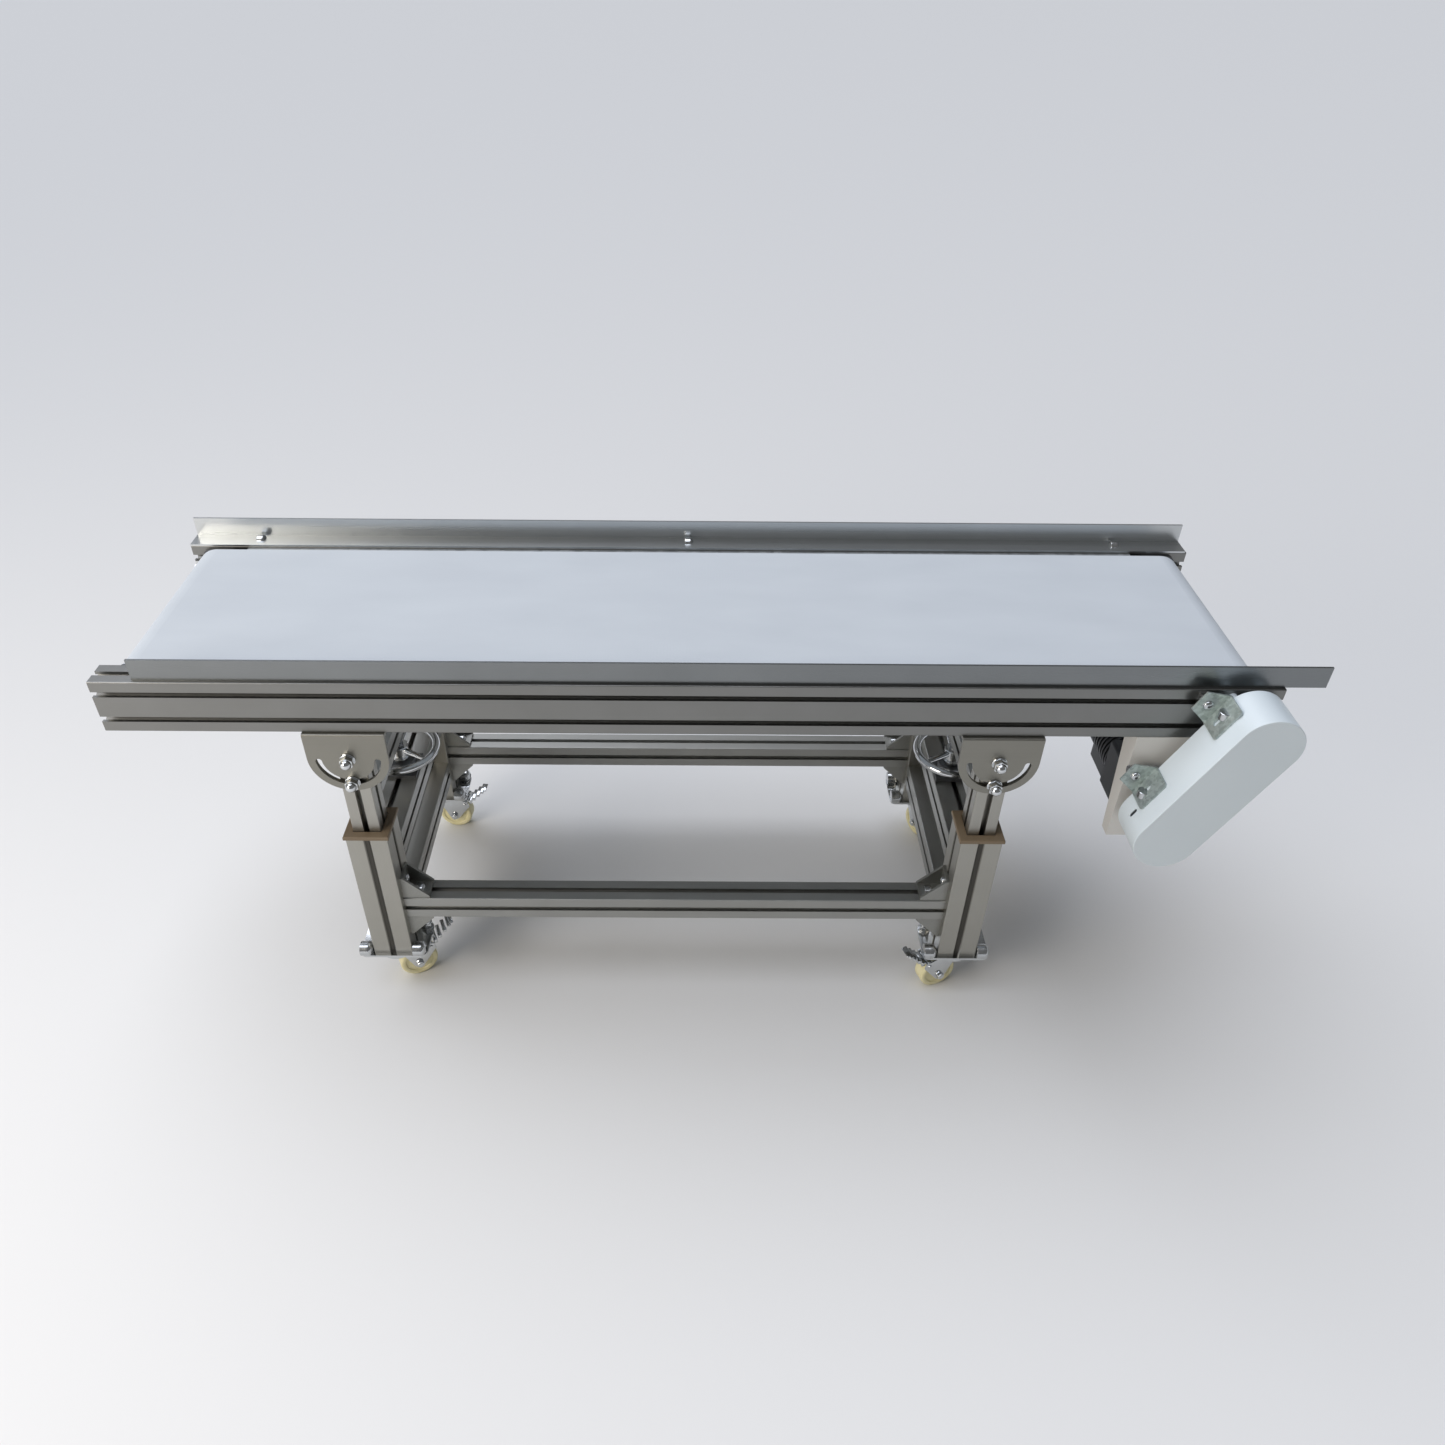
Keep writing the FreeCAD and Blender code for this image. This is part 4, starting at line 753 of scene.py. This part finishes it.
# %% [markdown]
# ## Casters
#
# A caster is three pieces: a fork pressed from sheet, with its ball race domed at the edge, a
# moulded wheel with a dished web, and a brake pedal bent from strip. Each is drawn once with
# the trail along X, then turned to the heading that its swivel and roll joints give.

# %% Caster pieces
trail, axle_z, pin_x, pin_z = 24.0, 30.0, 46.0, 59.0
wheel_half, cheek_in, cheek_out = 12.0, 13.5, 16.5
race_low, race_high = 68.0, 76.7


def caster_fork():
    """Ball race, two cheeks, axle bolt with its nuts, and pedal pin."""
    race = turned("race", [(6.1, race_low), (24, race_low), (28.5, race_low + 0.8), (30.5, race_low + 2.5),
                           (31, race_low + 4.5), (29.8, race_high - 1), (26, race_high), (6.1, race_high),
                           (6.1, race_low)], 56)
    cheek = blank("cheek", (-16, cheek_in, axle_z - 9), (pin_x + 8, cheek_out, race_low + 2.5))
    cuts = [((-10, 0, race_low - 11.5), (-0.92, 0, -0.39)),
            ((trail - 9, 0, axle_z - 4), (-0.92, 0, -0.39)),
            ((trail - 5, 0, axle_z - 9), (-0.8, 0, -0.6)),
            ((trail + 5, 0, axle_z - 9), (0.8, 0, -0.6)),
            ((trail + 9, 0, axle_z - 4), (0.72, 0, -0.69)),
            ((pin_x + 7, 0, pin_z - 2), (0.97, 0, 0.24)),
            ((pin_x + 5, 0, pin_z + 6), (0.29, 0, 0.96))]
    for point, waste_side in cuts:
        sawn(cheek, point, waste_side)
    bevelled(cheek, 0.8 * mm, 3, 30)
    pieces = [race, cheek, copied(cheek, Matrix.Translation((0, -(cheek_in + cheek_out) * mm, 0)))]
    for x, z, r, end in ((trail, axle_z, 4.0, 5.4), (pin_x, pin_z, 3.0, 2.0)):
        half = cheek_out + end
        rod = turned("rod", [(r - 0.5, -half), (r, 0.5 - half), (r, half - 0.5), (r - 0.5, half)], 24)
        pieces.append(placed(rod, (x * mm, 0, z * mm), (0, 1, 0)))
        dropped(rod)
    nut = hexagon("axle_nut", 11.0, 0, 5.0, 0.6)
    for side in (-1, 1):
        pieces.append(placed(nut, (trail * mm, side * cheek_out * mm, axle_z * mm), (0, side, 0)))
    dropped(nut)
    fork = joined(pieces, "caster_fork")
    smooth(fork, 35)
    return fork


def caster_wheel():
    """Tyre, dished web and boss in one moulding, about its axle."""
    r, h = axle_z, wheel_half
    web = [(4.1, h + 0.5), (7.6, h + 0.5), (9.0, h - 0.8), (9.6, h - 2), (r - 9, h - 2), (r - 8, h - 0.5),
           (r - 6.5, h)]
    edge = [(r - 4 + 4 * math.sin(a), h - 4 + 4 * math.cos(a)) for a in map(math.radians, (15, 40, 65, 90))]
    side = web + edge
    far_side = [(radius, -height) for radius, height in reversed(side)]
    wheel = turned("caster_wheel", side + far_side + side[:1], 64)
    smooth(wheel, 35)
    return placed(wheel, (trail * mm, 0, axle_z * mm), (0, 1, 0)), wheel


def brake_pedal():
    """A lever that climbs from its pin to a narrower tread."""
    half_width = 12.5
    lever = blank("pedal", (pin_x - 5.5, -half_width, pin_z - 4), (pin_x + 1, half_width, pin_z + 5))
    for face in lever.data.polygons:
        face.select = face.normal.x > 0.9
    bpy.ops.object.mode_set(mode="EDIT")
    bpy.ops.mesh.select_mode(type="FACE")
    for forward, up, taper in ((11, 3, 0.9), (8, 8, 0.8), (9, 9, 0.8), (8, 8, 0.75), (4.5, 3, 0.6)):
        bpy.ops.mesh.extrude_region_move(TRANSFORM_OT_translate={"value": (forward * mm, 0, up * mm)})
        bpy.ops.transform.resize(value=(1, 1 if forward > 5 else 0.8, taper))
    bpy.ops.mesh.select_mode(type="VERT")
    bpy.ops.object.mode_set(mode="OBJECT")
    closed(lever)
    bevelled(lever, 1.2 * mm, 3, 25)
    smooth(lever, 60)
    return lever


fork_pattern, pedal_pattern = caster_fork(), brake_pedal()
wheel_pattern, wheel_blank = caster_wheel()
for corner in ("front_left", "front_right", "rear_left", "rear_right"):
    swivel, roll = (Vector(joints[kind + corner]["pos_m"]) for kind in ("swivel_", "roll_"))
    heading = math.atan2(roll.y - swivel.y, roll.x - swivel.x)
    stand = Matrix.Translation((swivel.x, swivel.y, 0)) @ Matrix.Rotation(heading, 4, "Z")
    for kind, pattern, slot, material in (("caster_fork_", fork_pattern, "caster_steel", chrome),
                                          ("caster_wheel_", wheel_pattern, "caster_tread", cream_nylon),
                                          ("brake_pedal_", pedal_pattern, "caster_steel", chrome)):
        piece = copied(pattern, stand)
        piece.name = kind + corner + "_detail"
        finished(piece, kind + corner, slot, material, kind + corner)
dropped(fork_pattern, pedal_pattern, wheel_pattern, wheel_blank)

# %% [markdown]
# ## Floor, light and camera
#
# The studio is plain: one pale floor of one colour, a uniform sky, a very wide soft light from
# above, a little behind and to the left, and a warm softbox low on the left. Metal shows what
# it mirrors, and the front faces mirror the floor before them. That floor is brightest on the
# left, near the softbox, so the rails run from light grey on the left to dark grey on the right.

# %% Floor and lights
floor_size = 80
nothing_selected()
bpy.ops.mesh.primitive_plane_add(size=floor_size, location=(0, 0, 0))
floor = bpy.context.object
floor.name = "studio_floor"
paper, paper_surface = new_material("white_backdrop_paper", 0.0, 0.9)
paper_surface.inputs["Base Color"].default_value = srgb("#D9D9D8")
floor.data.materials.append(paper)


def aimed(lamp, place, target):
    lamp.rotation_euler = (Vector(target) - Vector(place)).to_track_quat("-Z", "Y").to_euler()


def softbox(name, place, target, width, height, power, colour):
    nothing_selected()
    bpy.ops.object.light_add(type="AREA", location=place)
    lamp = bpy.context.object
    lamp.name = name
    lamp.data.shape, lamp.data.size, lamp.data.size_y = "RECTANGLE", width, height
    lamp.data.energy, lamp.data.color = power, srgb(colour)[:3]
    aimed(lamp, place, target)


middle = (0.0, 0.0, 0.4)
nothing_selected()
back_place = (-1.3, 0.7, 3.8)
bpy.ops.object.light_add(type="SUN", location=back_place)
back_light = bpy.context.object
back_light.name = "wide_back_light"
back_light.data.angle, back_light.data.energy = math.radians(70), 2.8
back_light.data.color = srgb("#F1F5FF")[:3]
aimed(back_light, back_place, middle)
softbox("warm_left_softbox", (-2.6, -2.0, 1.5), (-1.0, -0.9, 0.0), 1.6, 1.6, 60.0, "#FFF6EA")

sky = bpy.data.worlds.new("studio_sky")
sky.use_nodes = True
glow = sky.node_tree.nodes["Background"]
glow.inputs["Color"].default_value = (1.0, 1.0, 1.0, 1.0)
glow.inputs["Strength"].default_value = 0.16
bpy.context.scene.world = sky
bpy.context.scene.view_settings.view_transform = "Standard"

# %% Camera
camera_place = Vector((-0.0218, -1.2957, 1.4233))
pitch, yaw, roll = math.radians(36.99), math.radians(0.43), math.radians(0.62)
ahead = Vector((math.sin(yaw) * math.cos(pitch), math.cos(yaw) * math.cos(pitch), -math.sin(pitch)))
level = Vector((math.cos(yaw), -math.sin(yaw), 0.0))
above = level.cross(ahead)
across = level * math.cos(roll) + above * math.sin(roll)
upward = above * math.cos(roll) - level * math.sin(roll)
camera_turn = Matrix((across, upward, -ahead)).transposed()
lens = bpy.data.cameras.new("camera")
lens.sensor_width, lens.lens = 36.0, 26.9
lens.shift_x, lens.shift_y = 0.0166, -0.0156
camera = bpy.data.objects.new("camera", lens)
camera.matrix_world = Matrix.Translation(camera_place) @ camera_turn.to_4x4()
bpy.context.scene.collection.objects.link(camera)
bpy.context.scene.camera = camera
